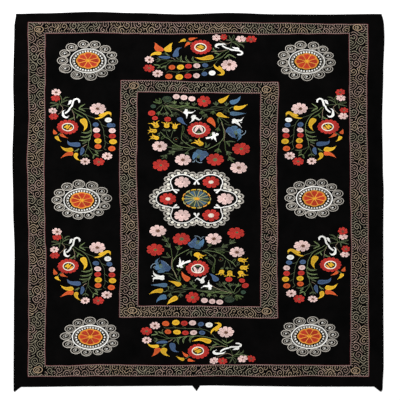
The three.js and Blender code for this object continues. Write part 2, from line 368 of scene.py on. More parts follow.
def bell_mouth(x, y, heading, size):
    """The stitches in a second thread across a bell's mouth."""
    made = []
    for side in (-1, 1):
        ends = [polar(x, y, size * 0.1, heading), polar(x, y, size * 0.5, heading + side * 22)]
        made += line(ends, FINE_CORD, 0.9)
    return made


# The stitched work, gathered by field and thread

work = {}


def sew(field, thread, parts, place):
    """Lays parts on the cloth at a place and keeps them for their field and thread."""
    c, s = math.cos(math.radians(place.turn)), math.sin(math.radians(place.turn))

    def lay(points):
        made = []
        for x, y in points:
            pulls = [(math.exp(-((x - nx) ** 2 + (y - ny) ** 2) / reach ** 2), dx, dy)
                     for nx, ny, reach, dx, dy in place.nudges]
            x += sum(pull * dx for pull, dx, _ in pulls)
            y += sum(pull * dy for pull, _, dy in pulls)
            x *= place.mirror
            made.append((place.x + x * c - y * s, place.y + (x * s + y * c) * LAID_HEIGHT))
        return made

    kept = work.setdefault((field, thread), [])
    kept += [part._replace(points=lay(part.points)) for part in parts]


# How large forms are sewn for their drawn size: thin bare ground shows between them, and eyes cover the
# petals' ends
EYE_SHARE = 1.12
BERRY_SHARE = 0.93
BLADE_SHARE = 0.88
LEAF_SHARE = 0.66


def sew_tables(field, place, flowers, berries, blades, leaves, stems, fans):
    """Sews the tables of one spray or bouquet."""
    for x, y, radius, count, tall, thread, eye_thread, eye_radius in flowers:
        sew(field, thread, flower(x, y, radius, count, tall), place)
        if tall == 1:
            sew(field, PETAL_LINES[thread], petal_lines(x, y, radius, count), place)
        sew(field, eye_thread, eye(x, y, eye_radius * EYE_SHARE), place)
    for x, y, radius, thread in berries:
        sew(field, thread, berry(x, y, radius * BERRY_SHARE), place)
        sew(field, BERRY_MIDDLES[thread], spiral(x, y, 4.2, FINE_PITCH, FINE_CORD, lift=0.7), place)
    for thread, profile, width, path in blades:
        sew(field, thread, blade(path, width * BLADE_SHARE, profile), place)
    for thread, width, path in leaves:
        sew(field, thread, leaf(path, width * LEAF_SHARE), place)
    for thread, path in stems:
        sew(field, thread, stem(path), place)
    for thread, x, y, heading, size in fans:
        sew(field, thread, fan(x, y, heading, size), place)


# The spray, drawn round about its own middle

SPRAY_FLOWERS = [
    # x, y, radius, petals, height for its width, thread, eye thread, eye radius
    (-106, 203, 19.5, 7, 1, "pink", "rust", 6),
    (-108, 169, 18.5, 6, 1, "red", "crimson", 3),
    (-119, 95, 17, 7, 1, "pink", "moss", 4),
    (-116, 62, 18.5, 6, 1, "red", "crimson", 3),
    (57, 107, 33, 8, 1, "pink", "rust", 8.5),
    (94, -171, 21.5, 8, 1, "pink", "rust", 6),
    (8, -203, 19.5, 8, 1, "pink", "rust", 6),
    (61, -205, 23, 7, 1, "red", "moss", 5),
]
SPRAY_BERRIES = [
    (98, 41, 15.5, "white"),
    (49, 14, 14, "blue"),
    (104, 10, 13.5, "blue"),
    (52, -19, 15.5, "pink"),
    (114, -22, 15.5, "pink"),
    (54, -51, 15, "red"),
    (114, -54, 15.5, "red"),
    (58, -82, 16, "yellow"),
    (117, -87, 16.5, "yellow"),
    (58, -115, 15, "orange"),
    (112, -127, 16, "orange"),
]
SPRAY_BLADES = [
    # thread, profile, width, path
    ("yellow", "pod", 31, [(-5, 48), (4, 26), (9, 2), (1, -25)]),
    ("orange", "pod", 19, [(-109, -42), (-113, -30), (-117, -14)]),
    ("orange", "pod", 18, [(-88, -42), (-79, -54), (-61, -65)]),
    ("yellow", "pod", 19, [(-106, -56), (-101, -72), (-87, -88)]),
    ("blue", "pod", 28, [(-10, -103), (-28, -104), (-48, -101), (-58, -92), (-62, -78)]),
    ("blue", "leaf", 18, [(-5, -121), (-3, -140), (-10, -167)]),
    ("yellow", "pod", 27, [(-40, -131), (-58, -136), (-75, -130), (-88, -114)]),
    ("orange", "pod", 28, [(-40, -158), (-55, -158), (-72, -167), (-88, -183)]),
    ("yellow", "pod", 21, [(-25, -154), (-30, -170), (-25, -186), (-9, -201)]),
    ("yellow", "curl", 16,
     [(41, 50), (56, 50), (69, 57), (80, 69), (91, 81), (101, 83), (107, 76), (108, 63)]),
    ("yellow", "leaf", 12, [(61, 66), (72, 73), (84, 82)]),
    # the white scroll: a hooked ribbon with a spur at either bend
    ("white", "ribbon", 9,
     [(-16, 141), (-16, 157), (-26, 165), (-37, 157), (-41, 141), (-44, 124), (-51, 113)]),
    ("white", "leaf", 12, [(-42, 156), (-51, 151), (-53, 141), (-61, 129)]),
    ("white", "ribbon", 8.5, [(-51, 115), (-56, 98), (-63, 87), (-72, 78)]),
    ("white", "curl", 12, [(-65, 104), (-79, 92), (-79, 77), (-78, 66), (-72, 58), (-63, 57), (-56, 66)]),
]
SPRAY_LEAVES = [
    # thread, width, path
    ("sage", 11, [(32, -15), (24, -29), (10, -35), (-6, -32)]),
    ("sage", 10, [(31, -44), (20, -55), (6, -60), (-10, -58)]),
    ("sage", 12, [(28, -64), (21, -77), (4, -81), (-15, -79)]),
    ("moss", 7, [(16, -88), (2, -96), (-6, -101)]),
    ("sage", 8, [(-18, 107), (-8, 121), (7, 135)]),
    ("sage", 8.5, [(-18, 107), (-5, 101), (8, 90)]),
    ("moss", 15, [(-97, 132), (-114, 141), (-132, 141)]),
    ("moss", 8, [(-97, 131), (-112, 127), (-130, 119)]),
    ("moss", 7, [(-97, 131), (-101, 116), (-101, 103)]),
    ("moss", 8, [(-80, 156), (-70, 171), (-55, 174)]),
    ("moss", 8, [(-84, 142), (-72, 153), (-58, 158)]),
    ("sage", 9, [(-36, 62), (-43, 50), (-58, 46)]),
    ("sage", 8, [(-20, 70), (-24, 60), (-27, 49)]),
    ("green", 8, [(-26, 78), (-14, 68), (3, 55)]),
    ("moss", 8, [(47, -137), (58, -141), (74, -138)]),
    ("sage", 10, [(47, -137), (52, -148), (60, -160)]),
    ("sage", 8, [(42, -162), (40, -176), (37, -189)]),
    ("sage", 8, [(42, -162), (53, -165), (62, -175)]),
    ("moss", 7, [(8, -160), (1, -167), (-6, -172)]),
    ("moss", 8, [(8, -160), (16, -167), (23, -177)]),
    ("sage", 8, [(-16, -128), (-22, -135), (-35, -143)]),
]
SPRAY_STEMS = [
    ("green", [(-97, 131), (-93, 145), (-95, 160)]),
    ("sage", [(-90, 131), (-84, 148), (-86, 172), (-93, 188)]),
    ("tan", [(-90, 131), (-80, 112), (-84, 94), (-98, 74)]),
    ("moss", [(-97, 131), (-78, 128), (-62, 122), (-48, 116)]),
    ("green", [(-46, 108), (-38, 92), (-28, 80), (-18, 72), (-8, 62)]),
    ("sage", [(-38, 111), (-22, 96), (-4, 83), (9, 68), (19, 48), (27, 22), (30, -4), (32, -32), (29, -58),
              (22, -85), (20, -110)]),
    ("moss", [(-20, 96), (5, 77), (24, 63), (40, 55), (57, 44), (67, 28), (73, 6), (79, -16), (81, -42),
              (84, -72), (86, -102), (80, -125), (90, -136)]),
    ("tan", [(-45, 100), (-38, 80), (-36, 62), (-35, 40)]),
    ("green", [(20, -110), (21, -125), (28, -140), (36, -157), (43, -165)]),
    ("moss", [(21, -116), (34, -130), (48, -137)]),
    ("moss", [(18, -112), (14, -130), (9, -148), (8, -180)]),
    ("tan", [(13, -103), (3, -112), (-2, -120)]),
    ("moss", [(-18, -126), (-24, -140), (-24, -152)]),
    ("sage", [(-84, -28), (-94, -42), (-103, -52)]),
    ("moss", [(-95, -41), (-86, -45)]),
    ("moss", [(-18, 107), (4, 108), (22, 108)]),
    ("moss", [(72, 14), (82, 6), (92, 3)]),
    ("moss", [(82, -46), (90, -54), (98, -62)]),
    ("moss", [(85, -84), (94, -94), (100, -99)]),
]


BLOOM_PETALS = 14
BLOOM_TURN = 80
BLOOM_PETAL_WIDTH = 17
BLOOM_HOLLOW = 0.57


def large_bloom(field, x, y, radius, place, heart):
    """The large red flower: a scalloped round, a white ring, and petals on the bare ground within it."""
    inner = radius * BLOOM_HOLLOW
    sew(field, "red", [Patch(lobed(x, y, radius * 0.95, BLOOM_PETALS, 0.08, BLOOM_TURN), 0)], place)
    for i in range(BLOOM_PETALS):
        heading = BLOOM_TURN + 360 * i / BLOOM_PETALS
        petal = [polar(x, y, inner, heading), polar(x, y, radius + 1, heading)]
        sew(field, "red", blade(petal, BLOOM_PETAL_WIDTH, "petal"), place)
        between = heading + 180 / BLOOM_PETALS
        parting = [polar(x, y, inner + 6, between), polar(x, y, radius * 0.92, between)]
        sew(field, "crimson", line(parting, HAIR_CORD, 1.2), place)
    sew(field, "red", loop(ring(x, y, inner + 2.5, 30)), place)
    sew(field, "black", [Patch(ring(x, y, inner * 0.96, 24), 0.9)], place)
    sew(field, "cream", loop(ring(x, y, inner - 1.5, 30), CORD + 1.2, 1.1), place)
    for thread, width, path in heart:
        sew(field, thread, blade([(x + px, y + py) for px, py in path], width, "leaf", 1.2), place)


SPRAY_HEART = [
    ("yellow", 9, [(-17, -4), (-8, 4), (0, 18)]),
    ("yellow", 9, [(-8, -14), (0, 0), (10, 15)]),
    ("amber", 9, [(2, -18), (10, -8), (17, 4)]),
    ("orange", 6, [(-6, -19), (3, -19)]),
]
# Every spray was drawn anew by hand, so each strays from this drawing in its own nudges
SPRAYS = [
    Place(-451.5, 281.3, 0, 1, ((-62, 0, 40, 3, -2),)),
    Place(-453.5, -263, 0, 1,
          ((-100, 110, 90, 9, 0), (-107, 187, 28, 4, -4), (-62, 0, 45, 7, -4), (54, -25, 36, 8, 1),
           (58, -95, 36, 3, -2), (-40, -150, 60, 3, 0), (-35, -100, 24, 4, 0), (-107, -50, 25, 2, -9),
           (-10, -190, 36, 2, -4))),
    Place(452, 282.5, 0, -1,
          ((-62, 0, 45, 9, -2), (114, -55, 62, -6, 1), (112, -127, 24, -5, -3), (-107, 190, 28, 4, -1),
           (54, 0, 28, 4, -2), (57, 107, 28, -5, -2), (-58, 95, 28, 8, 10), (-35, 145, 24, 3, -2),
           (3, 15, 28, 4, 0), (85, 65, 22, 0, -6), (-35, -100, 22, 0, 4), (-65, -130, 18, -3, 3))),
    Place(458, -257, 0, -1,
          ((57, 107, 40, -9, 1), (-107, 187, 36, -3, -12), (-117, 80, 28, -1, -8), (-50, -170, 42, 1, -7),
           (-62, 0, 40, 4, -6), (112, -40, 70, -3, 0), (-114, -50, 26, 0, 2), (56, -60, 60, 3, -1),
           (50, -205, 30, 4, 2), (-22, -178, 20, 3, -3), (-35, -100, 22, 2, 0), (-64, 83, 22, 0, 3))),
    Place(11.5, 554, -90, 1,
          ((-110, 150, 64, -1, -16), (-64, 83, 25, 2, 7), (57, 107, 45, -16, 3), (91, 54, 30, -3, 0),
           (110, -10, 62, -7, 3), (-35, -100, 28, 15, 4), (-65, -128, 19, 9, 10), (-60, -168, 18, 5, -15),
           (-22, -178, 22, 4, -7), (20, -190, 60, 6, 0), (-62, 0, 40, 5, -4), (3, 15, 24, 0, -4),
           (-110, -45, 28, 4, -6), (-35, 145, 25, 0, -2))),
    Place(1, -559.7, -90, -1,
          ((-50, 120, 50, 12, 4), (-64, 83, 28, 6, 5), (-62, 0, 40, 9, -4), (3, 15, 26, 3, 1),
           (-107, 187, 30, 8, 5), (-117, 78, 24, 4, -4), (112, -60, 70, -7, -3), (112, -127, 24, -6, -1),
           (49, 0, 28, 4, 0),
           (57, -115, 22, 2, -6), (57, 107, 30, -5, 0), (-60, -165, 28, 0, -5), (-35, -100, 24, 3, 2),
           (-22, -178, 20, 1, -4))),
]


# On all but the two sprays at the left, the first four flowers' reds and pinks change places
SWAPPED = {"red": "pink", "pink": "red"}
SWAPPED_FLOWERS = 4


def spray(order, place):
    """One spray of flowers, berries, buds and a white scroll."""
    flowers = SPRAY_FLOWERS
    if order > 1:
        swapped = [(*row[:5], SWAPPED[row[5]], *row[6:]) for row in SPRAY_FLOWERS[:SWAPPED_FLOWERS]]
        flowers = swapped + SPRAY_FLOWERS[SWAPPED_FLOWERS:]
    sew_tables("spray", place, flowers, SPRAY_BERRIES, SPRAY_BLADES, SPRAY_LEAVES, SPRAY_STEMS, [])
    large_bloom("spray", -62, 0, 41.5, place, SPRAY_HEART)
    if order == 0:
        # on the upper left spray alone, a blue berry grows a tail
        sew("spray", "blue", blade([(112, 9), (126, 9)], 24), place)


# One bouquet, drawn round from the layout's middle. The other is the same turned half round

BOUQUET_FLOWERS = [
    (22, 575, 27.5, 6, 1.18, "red", "moss", 7),
    (-152, 310, 30.5, 7, 1, "pink", "rust", 8.5),
    (-147, 199, 34, 7, 1, "red", "moss", 5),
    (-61, 231, 33, 7, 1, "pink", "rust", 8.5),
    (65, 232, 36, 8, 1, "red", "moss", 9),
    (168, 295, 36, 7, 1, "red", "green", 6),
    (158, 184, 34.5, 8, 1, "pink", "rust", 9),
]
BOUQUET_BERRIES = [
    (-87, 602, 15.5, "pink"),
    (-57, 598, 15.5, "pink"),
    (-26, 591, 15.5, "pink"),
    (-183, 505, 16, "red"),
    (-170, 476, 13, "red"),
    (-121, 469, 15, "red"),
    (-177, 545, 12, "deep_green"),
]
BOUQUET_BLADES = [
    ("yellow", "pod", 28, [(80, 570), (95, 580), (108, 593), (120, 611)]),
    ("pale_blue", "pod", 30, [(124, 566), (142, 572), (156, 584), (165, 604)]),
    ("yellow", "pod", 28, [(139, 537), (156, 535), (176, 543), (192, 556)]),
    ("slate_blue", "pod", 26, [(124, 504), (145, 501), (166, 502), (185, 503)]),
    ("yellow", "pod", 28, [(75, 503), (87, 494), (101, 485), (120, 477)]),
    ("orange", "pod", 32, [(38, 472), (52, 461), (63, 444), (67, 422)]),
    ("blue", "pod", 27, [(-78, 478), (-69, 463), (-60, 449), (-45, 435)]),
    # the white tulips, each of three or four arms
    ("white", "club", 15, [(-50, 504), (-47, 529)]),
    ("white", "pod", 15, [(-58, 510), (-42, 509), (-25, 509), (-12, 520)]),
    ("white", "pod", 16, [(-56, 514), (-46, 500), (-47, 475)]),
    ("white", "club", 17, [(-20, 470), (-16, 494)]),
    ("white", "pod", 13, [(-24, 482), (-10, 476), (4, 465), (12, 477)]),
    ("white", "pod", 17, [(-24, 490), (-20, 468), (-34, 448)]),
    ("white", "club", 16, [(58, 368), (60, 393)]),
    ("white", "club", 15, [(60, 368), (78, 386)]),
    ("white", "club", 12, [(60, 372), (45, 362), (28, 358)]),
    ("white", "pod", 15, [(60, 374), (64, 356), (71, 338)]),
    ("white", "club", 10, [(56, 366), (52, 351)]),
    ("white", "pod", 17, [(134, 456), (152, 460), (168, 464), (177, 482)]),
    ("white", "pod", 20, [(136, 470), (146, 454), (158, 440), (169, 420)]),
    ("white", "club", 16, [(146, 452), (131, 451)]),
    ("white", "club", 8, [(164, 452), (171, 449)]),
]
BOUQUET_BELLS = [
    # x, y, heading, size
    (-169, 436, 112, 28),
    (-124, 435, 90, 27),
    (-92, 428, 82, 25),
    (-178, 402, 172, 26),
    (-170, 361, 160, 27),
    (2, 332, 135, 31),
]
BOUQUET_LEAVES = [
    ("green", 12, [(-146, 562), (-158, 574), (-170, 588)]),
    ("green", 12, [(-146, 562), (-149, 578), (-153, 595)]),
    ("green", 10, [(-148, 560), (-164, 567), (-179, 573)]),
    ("olive", 8, [(-140, 552), (-120, 575), (-100, 562), (-84, 553)]),
    ("olive", 8, [(-128, 556), (-106, 570), (-92, 556)]),
    ("green", 9, [(-138, 548), (-110, 545), (-80, 540), (-60, 546)]),
    ("olive", 8, [(-80, 538), (-50, 532), (-22, 536), (-2, 528)]),
    ("green", 8, [(-70, 548), (-45, 550), (-24, 541)]),
    ("olive", 7, [(0, 528), (26, 522), (48, 528), (72, 522)]),
    ("olive", 7, [(42, 536), (66, 544), (88, 540), (104, 546)]),
    ("green", 9, [(84, 486), (78, 470), (80, 446)]),
    ("olive", 8, [(102, 446), (112, 437), (132, 433)]),
    ("green", 13, [(-63, 434), (-59, 410), (-67, 370)]),
    ("olive", 20, [(-62, 386), (-48, 368), (-36, 350)]),
    ("moss", 12, [(-150, 390), (-156, 380), (-150, 370)]),
    ("green", 16, [(-146, 352), (-138, 364), (-130, 376)]),
    ("green", 14, [(-66, 302), (-88, 308), (-106, 314)]),
    ("moss", 13, [(-60, 296), (-84, 294), (-108, 294)]),
    ("green", 9, [(44, 372), (52, 386), (56, 400)]),
    ("moss", 9, [(104, 334), (124, 340), (144, 336)]),
    ("green", 10, [(110, 332), (120, 322), (121, 308)]),
    ("green", 8, [(24, 300), (30, 318), (26, 336)]),
    ("moss", 9, [(26, 302), (38, 312), (46, 326)]),
]
BOUQUET_STEMS = [
    ("olive", [(-142, 553), (-118, 538), (-85, 540), (-50, 540), (-15, 533), (25, 528), (70, 534), (108, 540),
               (128, 530)]),
    ("moss", [(-142, 553), (-110, 530), (-80, 522), (-62, 516)]),
    ("sage", [(-138, 550), (-145, 525), (-153, 510), (-158, 495)]),
    ("green", [(-136, 550), (-130, 528), (-124, 510), (-121, 486)]),
    ("moss", [(-134, 550), (-120, 530), (-104, 512), (-92, 500)]),
    ("tan", [(-130, 554), (-108, 540), (-84, 528), (-58, 508)]),
    ("sage", [(-126, 548), (-112, 526), (-104, 504), (-100, 486)]),
    ("moss", [(-140, 556), (-156, 540), (-164, 524)]),
    ("sage", [(-118, 552), (-96, 552), (-70, 546), (-44, 540), (-20, 540), (4, 534)]),
    ("moss", [(-100, 536), (-78, 528), (-52, 524), (-30, 520)]),
    ("olive", [(-2, 530), (30, 518), (70, 520), (105, 532), (128, 530)]),
    ("sage", [(122, 532), (130, 540), (138, 540)]),
    ("sage", [(118, 528), (120, 514), (126, 506)]),
    ("moss", [(108, 540), (108, 556), (112, 570)]),
    ("sage", [(72, 500), (84, 476), (93, 452), (97, 420), (100, 392), (99, 362), (84, 332), (62, 312),
              (36, 292)]),
    ("tan", [(90, 452), (96, 425), (104, 400), (103, 365), (100, 340)]),
    ("moss", [(86, 480), (104, 462), (118, 446)]),
    ("green", [(100, 350), (104, 322), (106, 292), (114, 266), (124, 240), (140, 212)]),
    ("moss", [(97, 358), (86, 332), (79, 300)]),
    ("moss", [(84, 440), (80, 426), (76, 416)]),
    ("sage", [(-148, 396), (-132, 368), (-112, 350), (-96, 326), (-70, 309), (-40, 302), (-18, 302)]),
    ("moss", [(-126, 408), (-124, 384), (-114, 360)]),
    ("moss", [(-100, 402), (-104, 380), (-108, 358)]),
    ("sage", [(-66, 374), (-66, 352), (-52, 330), (-30, 312), (-14, 304)]),
    ("olive", [(-18, 302), (-50, 290), (-80, 284), (-104, 278), (-124, 262)]),
    ("moss", [(-20, 300), (-36, 288), (-44, 276)]),
    ("olive", [(-18, 302), (0, 300), (18, 296), (30, 290)]),
    ("moss", [(-88, 296), (-110, 304), (-124, 306)]),
]
BOUQUET_FANS = [
    # thread, x, y, heading, size
    ("sage", -92, 560, 96, 24),
    ("moss", -68, 556, 80, 24),
    ("sage", -43, 552, 92, 26),
    ("moss", -18, 548, 82, 27),
    ("moss", -104, 500, -98, 22),
    ("olive", -136, 508, -96, 24),
    ("green", -152, 514, -104, 28),
    ("moss", -124, 514, -92, 26),
    ("olive", -90, 512, -84, 34),
    ("moss", 70, 550, 95, 28),
    ("moss", 110, 548, 88, 26),
    ("olive", 104, 528, -80, 32),
    ("green", 14, 520, -90, 28),
    ("green", 58, 520, -92, 28),
    ("moss", 30, 500, -108, 30),
    ("green", 76, 420, -92, 26),
    ("olive", -132, 398, 106, 20),
    ("moss", -114, 396, 92, 20),
    ("moss", -96, 398, 78, 18),
    ("olive", -58, 332, 200, 20),
    ("olive", -50, 336, -60, 20),
    ("moss", -92, 282, 216, 34),
    ("moss", -44, 278, -98, 24),
    ("moss", -124, 260, 232, 34),
    ("green", 79, 298, -98, 34),
    ("moss", 110, 282, -56, 32),
    ("moss", 122, 250, -72, 36),
    ("green", -34, 352, -70, 18),
]
BOUQUET_HEART = [
    ("pink", 12, [(-1, 23), (-9, 6), (-16, -15)]),
    ("pink", 12, [(2, 23), (9, 6), (15, -15)]),
    ("blush", 5, [(0, 16), (0, -2)]),
    ("green", 7, [(-8, -20), (0, -14), (8, -20)]),
]


# The two blue blossoms of a bouquet: the middle, and from it the petals, a green heart and its lean, dark
# strokes between the petals, and pale curls and edges
BLUE_BLOSSOMS = [
    (139, 398,
     [("slate_blue", "round", 27, [(5, -6), (2, 12), (1, 31)]),
      ("blue", "round", 34, [(6, -8), (-10, 3), (-29, 12)]),
      ("pale_blue", "round", 28, [(4, -6), (16, 0), (28, 3)]),
      ("blue", "pod", 29, [(-7, -4), (-4, -22), (8, -41)]),
      ("slate_blue", "pod", 15, [(19, -12), (25, -34), (13, -56)])],
     (7, -8, 97),
     [[(-8, 26), (-1, 8)], [(14, 22), (9, 7)], [(-24, -5), (-8, -10)], [(19, -20), (9, -43)]],
     [[(30, 5), (36, 0), (31, -6)], [(46, 5), (45, -8), (38, -18), (30, -23), (24, -17)],
      [(-23, -11), (-14, -24), (-3, -35)]]),
    (7, 256,
     [("slate_blue", "round", 27, [(-5, -4), (-6, 14), (-1, 33)]),
      ("blue", "round", 34, [(-5, -6), (10, 5), (29, 17)]),
      ("blue", "pod", 29, [(3, 6), (8, -12), (0, -34)]),
      ("slate_blue", "round", 16, [(-6, 2), (-16, 11), (-25, 16)]),
      ("pale_blue", "pod", 23, [(-11, 10), (-23, -5), (-28, -27)])],
     (-5, -5, 72),
     [[(9, 23), (25, 7)], [(6, 13), (20, -3)], [(4, 3), (14, -13)], [(-12, -8), (-17, -24)]],
     [[(-16, -20), (-15, -31), (-6, -40), (8, -41)], [(-21, -26), (-23, -36), (-31, -38)],
      [(28, 4), (17, -13), (3, -32)]]),
]


def blue_blossom(field, place, x, y, petals, heart, strokes, curls):
    """A blue blossom: uneven petals about a green heart, with pale curls."""

    def moved(path):
        return [(x + px, y + py) for px, py in path]

    sew(field, "blue", [Patch(ellipse(x, y, 22, 18), -0.3)], place)
    for thread, profile, width, path in petals:
        sew(field, thread, blade(moved(path), width, profile), place)
    hx, hy, lean = heart
    sew(field, "moss", [Patch(ellipse(x + hx, y + hy, 11.5, 7.5, lean), 0.9)], place)
    sew(field, "green", loop(ellipse(x + hx, y + hy, 9, 5, lean), FINE_CORD, 1.2), place)
    for path in strokes:
        sew(field, "slate", line(moved(path), 2.8, 1.15), place)
    for path in curls:
        sew(field, "ice", line(smooth(moved(path), 5), HAIR_CORD, 0.4), place)


BOUQUETS = [
    Place(0, -1.5, 0, 1,
          ((55, 450, 24, -4, -3), (2, 332, 24, 2, -4), (-169, 436, 18, 3, -1), (-40, 583, 60, 0, -1))),
    Place(-1, -3.3, 180, 1,
          ((90, 475, 50, -7, 2), (55, 450, 24, -3, 0), (60, 370, 28, 9, 15), (160, 443, 28, 14, 1),
           (155, 505, 22, -5, 1), (98, 588, 24, 3, 3), (146, 582, 20, -5, 0), (110, 590, 42, 1, 6),
           (-52, 482, 42, 5, 0),
           (-18, 475, 18, 0, -3), (-178, 490, 26, -4, 1), (-175, 365, 34, -3, -5), (0, 335, 36, -3, -4),
           (-75, 602, 30, 3, 1), (-26, 591, 18, 1, 3), (-147, 199, 28, -5, -6))),
]


def bouquet(place):
    """One bouquet of the middle panel."""
    field = "bouquet"
    sew_tables(field, place, BOUQUET_FLOWERS, BOUQUET_BERRIES, BOUQUET_BLADES, BOUQUET_LEAVES, BOUQUET_STEMS,
               BOUQUET_FANS)
    # the wound green head at the upper left, and the small orange one
    sew(field, "deep_green", spiral(-122, 586, 22, 8.2, FINE_CORD), place)
    sew(field, "moss", spiral(-122, 586, 19, 8.2, 1.4, start=170), place)
    sew(field, "olive", spiral(-87, 352, 15, 12, 3.2, hub=8), place)
    sew(field, "orange", spiral(-87, 352, 4, 3, FINE_CORD), place)
    for row in BOUQUET_BELLS:
        sew(field, "yellow", bell(*row), place)
        sew(field, "rust", bell_mouth(*row), place)
    for blossom in BLUE_BLOSSOMS:
        blue_blossom(field, place, *blossom)
    large_bloom(field, 2, 407, 45.5, place, BOUQUET_HEART)


# The rosettes

ROSETTES = [
    # x, y, and each disc's heading and how far out it lies
    (-432, 541.5,
     [(19, 98), (45, 95), (74, 96), (101, 97), (130, 101), (155, 101), (180, 100), (208, 100), (243, 95),
      (276, 93), (306, 92), (335, 94), (357, 97)]),
    (424.5, 538,
     [(22, 92), (48, 95), (74, 96), (104, 99), (130, 98), (158, 96), (186, 93), (214, 95), (239, 94),
      (271, 90), (302, 91), (331, 94), (356, 94)]),
    (-457, -6.5,
     [(7, 97), (34, 95), (65, 94), (97, 97), (126, 98), (153, 98), (179, 98), (205, 96), (234, 93),
      (261, 93), (288, 92), (313, 96), (339, 96)]),
    (454.3, 1.5,
     [(17, 96), (44, 94), (71, 95), (99, 92), (128, 96), (154, 98), (179, 95), (208, 99), (235, 98),
      (262, 96), (292, 93), (323, 91), (350, 96)]),
    (-423.5, -542,
     [(6, 93), (32, 94), (60, 95), (91, 94), (120, 94), (149, 92), (178, 96), (206, 96), (234, 97),
      (260, 92), (289, 91), (313, 96), (337, 95)]),
    (435, -539,
     [(6, 94), (32, 95), (57, 96), (82, 94), (114, 95), (144, 96), (170, 92), (199, 92), (225, 92),
      (254, 96), (284, 96), (311, 94), (337, 96)]),
]
DISC_SMALLEST = 18.5
DISC_LARGEST = 24.5
DISC_SHARE = 0.9
ROSETTE_RING = 70
BEAD_RING = 56
BEADS = 28
BEAD_RADIUS = 3.6
ROSETTE_PETALS = 8
PETAL_REACH = 43


def bead_places(x, y, radius, count):
    """Places on a laid ring with even steps as it lies, drawn in the round."""
    fineness = 720
    fine = [polar(x, y, radius, 360 * i / fineness) for i in range(fineness)]
    steps = [math.hypot(bx - ax, (by - ay) * LAID_HEIGHT)
             for (ax, ay), (bx, by) in zip(fine, fine[1:] + fine[:1])]
    share, gone, made = sum(steps) / count, 0.0, []
    for place, step in zip(fine, steps):
        if gone >= share * len(made):
            made.append(place)
        gone += step
    return made


def rosette(x, y, discs):
    """A rosette: wound discs round a white ring, a ring of beads, and a bloom of orange and red petals."""
    field = "rosette"
    place = Place(x, y, 0, 1)
    for i, (heading, out) in enumerate(discs):
        # a disc is as large as the room its neighbours leave it
        before, after = discs[i - 1][0], discs[(i + 1) % len(discs)][0]
        room = math.radians((after - before) % 360 / 4) * out
        radius = min(DISC_LARGEST, max(DISC_SMALLEST, room * DISC_SHARE))
        cx, cy = polar(0, 0, out, heading)
        winding = spiral(cx, cy, radius - 2, 7.6, 4.0, start=heading + 180, hub=8, lift=-0.1)
        sew(field, "grey", winding, place)
        sew(field, "silver", loop(ring(cx, cy, radius, 20), 3.4, 0.3), place)
        sew(field, "white", spiral(cx, cy, 5.8, FINE_PITCH, 2.8, lift=0.6), place)
    sew(field, "white", loop(ring(0, -2, ROSETTE_RING, 48), 5.0, 0.5), place)
    sew(field, "silver", loop(ellipse(2, -2, 63.5, 63, count=44), 2.4, 0.0), place)
    for cx, cy in bead_places(0, -2, BEAD_RING, BEADS):
        bead = ellipse(cx, cy, BEAD_RADIUS, BEAD_RADIUS / LAID_HEIGHT, count=8)
        sew(field, "white", [Patch(bead, 0.2)], place)
        sew(field, "white", loop(ellipse(cx, cy, 2.3, 2.3 / LAID_HEIGHT, count=8), 3.0, 0.5), place)
    sew(field, "amber", [Patch(lobed(0, 0, 47, ROSETTE_PETALS, 0.07), 0)], place)
    sew(field, "amber", loop(lobed(0, 0, 46, ROSETTE_PETALS, 0.08), 4.4, 0.5), place)
    for i in range(ROSETTE_PETALS):
        heading = 90 + 360 * i / ROSETTE_PETALS
        edge = heading + 180 / ROSETTE_PETALS
        petal = [polar(0, 0, 6, heading), polar(0, 0, PETAL_REACH, heading)]
        sew(field, "vermilion", blade(petal, 27, "petal", 0.5), place)
        sew(field, "amber", line([polar(0, 0, 8, edge), polar(0, 0, PETAL_REACH, edge)], 3.4, 1.2), place)
    sew(field, "yellow", eye(0, 0, 10), place)


# The medallion

MEDALLION = Place(-7, -0.5, 0, 1)
LOBE_DISTANCE = 112.6
SCALLOP_DISTANCE = 60
SCALLOP_STEP = 28.6
CORD_DISTANCE = 45.5
DISC_RAYS = 14
MEDALLION_FLOWERS = [
    # turn, radius, petals, thread, eye radius
    (0, 33, 7, "pink", 0),
    (60, 35, 8, "red", 10),
    (120, 32, 7, "pink", 0),
    (180, 34, 8, "red", 10),
    (240, 33, 7, "pink", 0),
    (300, 35, 7, "red", 12),
]


def scallop(x, y, heading):
    """One scallop of the medallion: a white core in grey arcs."""
    field = "medallion"
    ix, iy = polar(x, y, -4, heading)
    sew(field, "white", [Patch(ellipse(ix, iy, 7, 7, count=10), 0.3)], MEDALLION)
    sew(field, "cream", spiral(ix, iy, 8.2, 3.4, 3.2, lift=0.7), MEDALLION)
    for reach, half_turn, width, thread in ((13.8, 120, 3.4, "silver"), (10.2, 84, 2.4, "grey")):
        arc = [polar(x, y, reach, heading + half_turn * k / 5) for k in range(-5, 6)]
        sew(field, thread, line(arc, width, 0.3), MEDALLION)


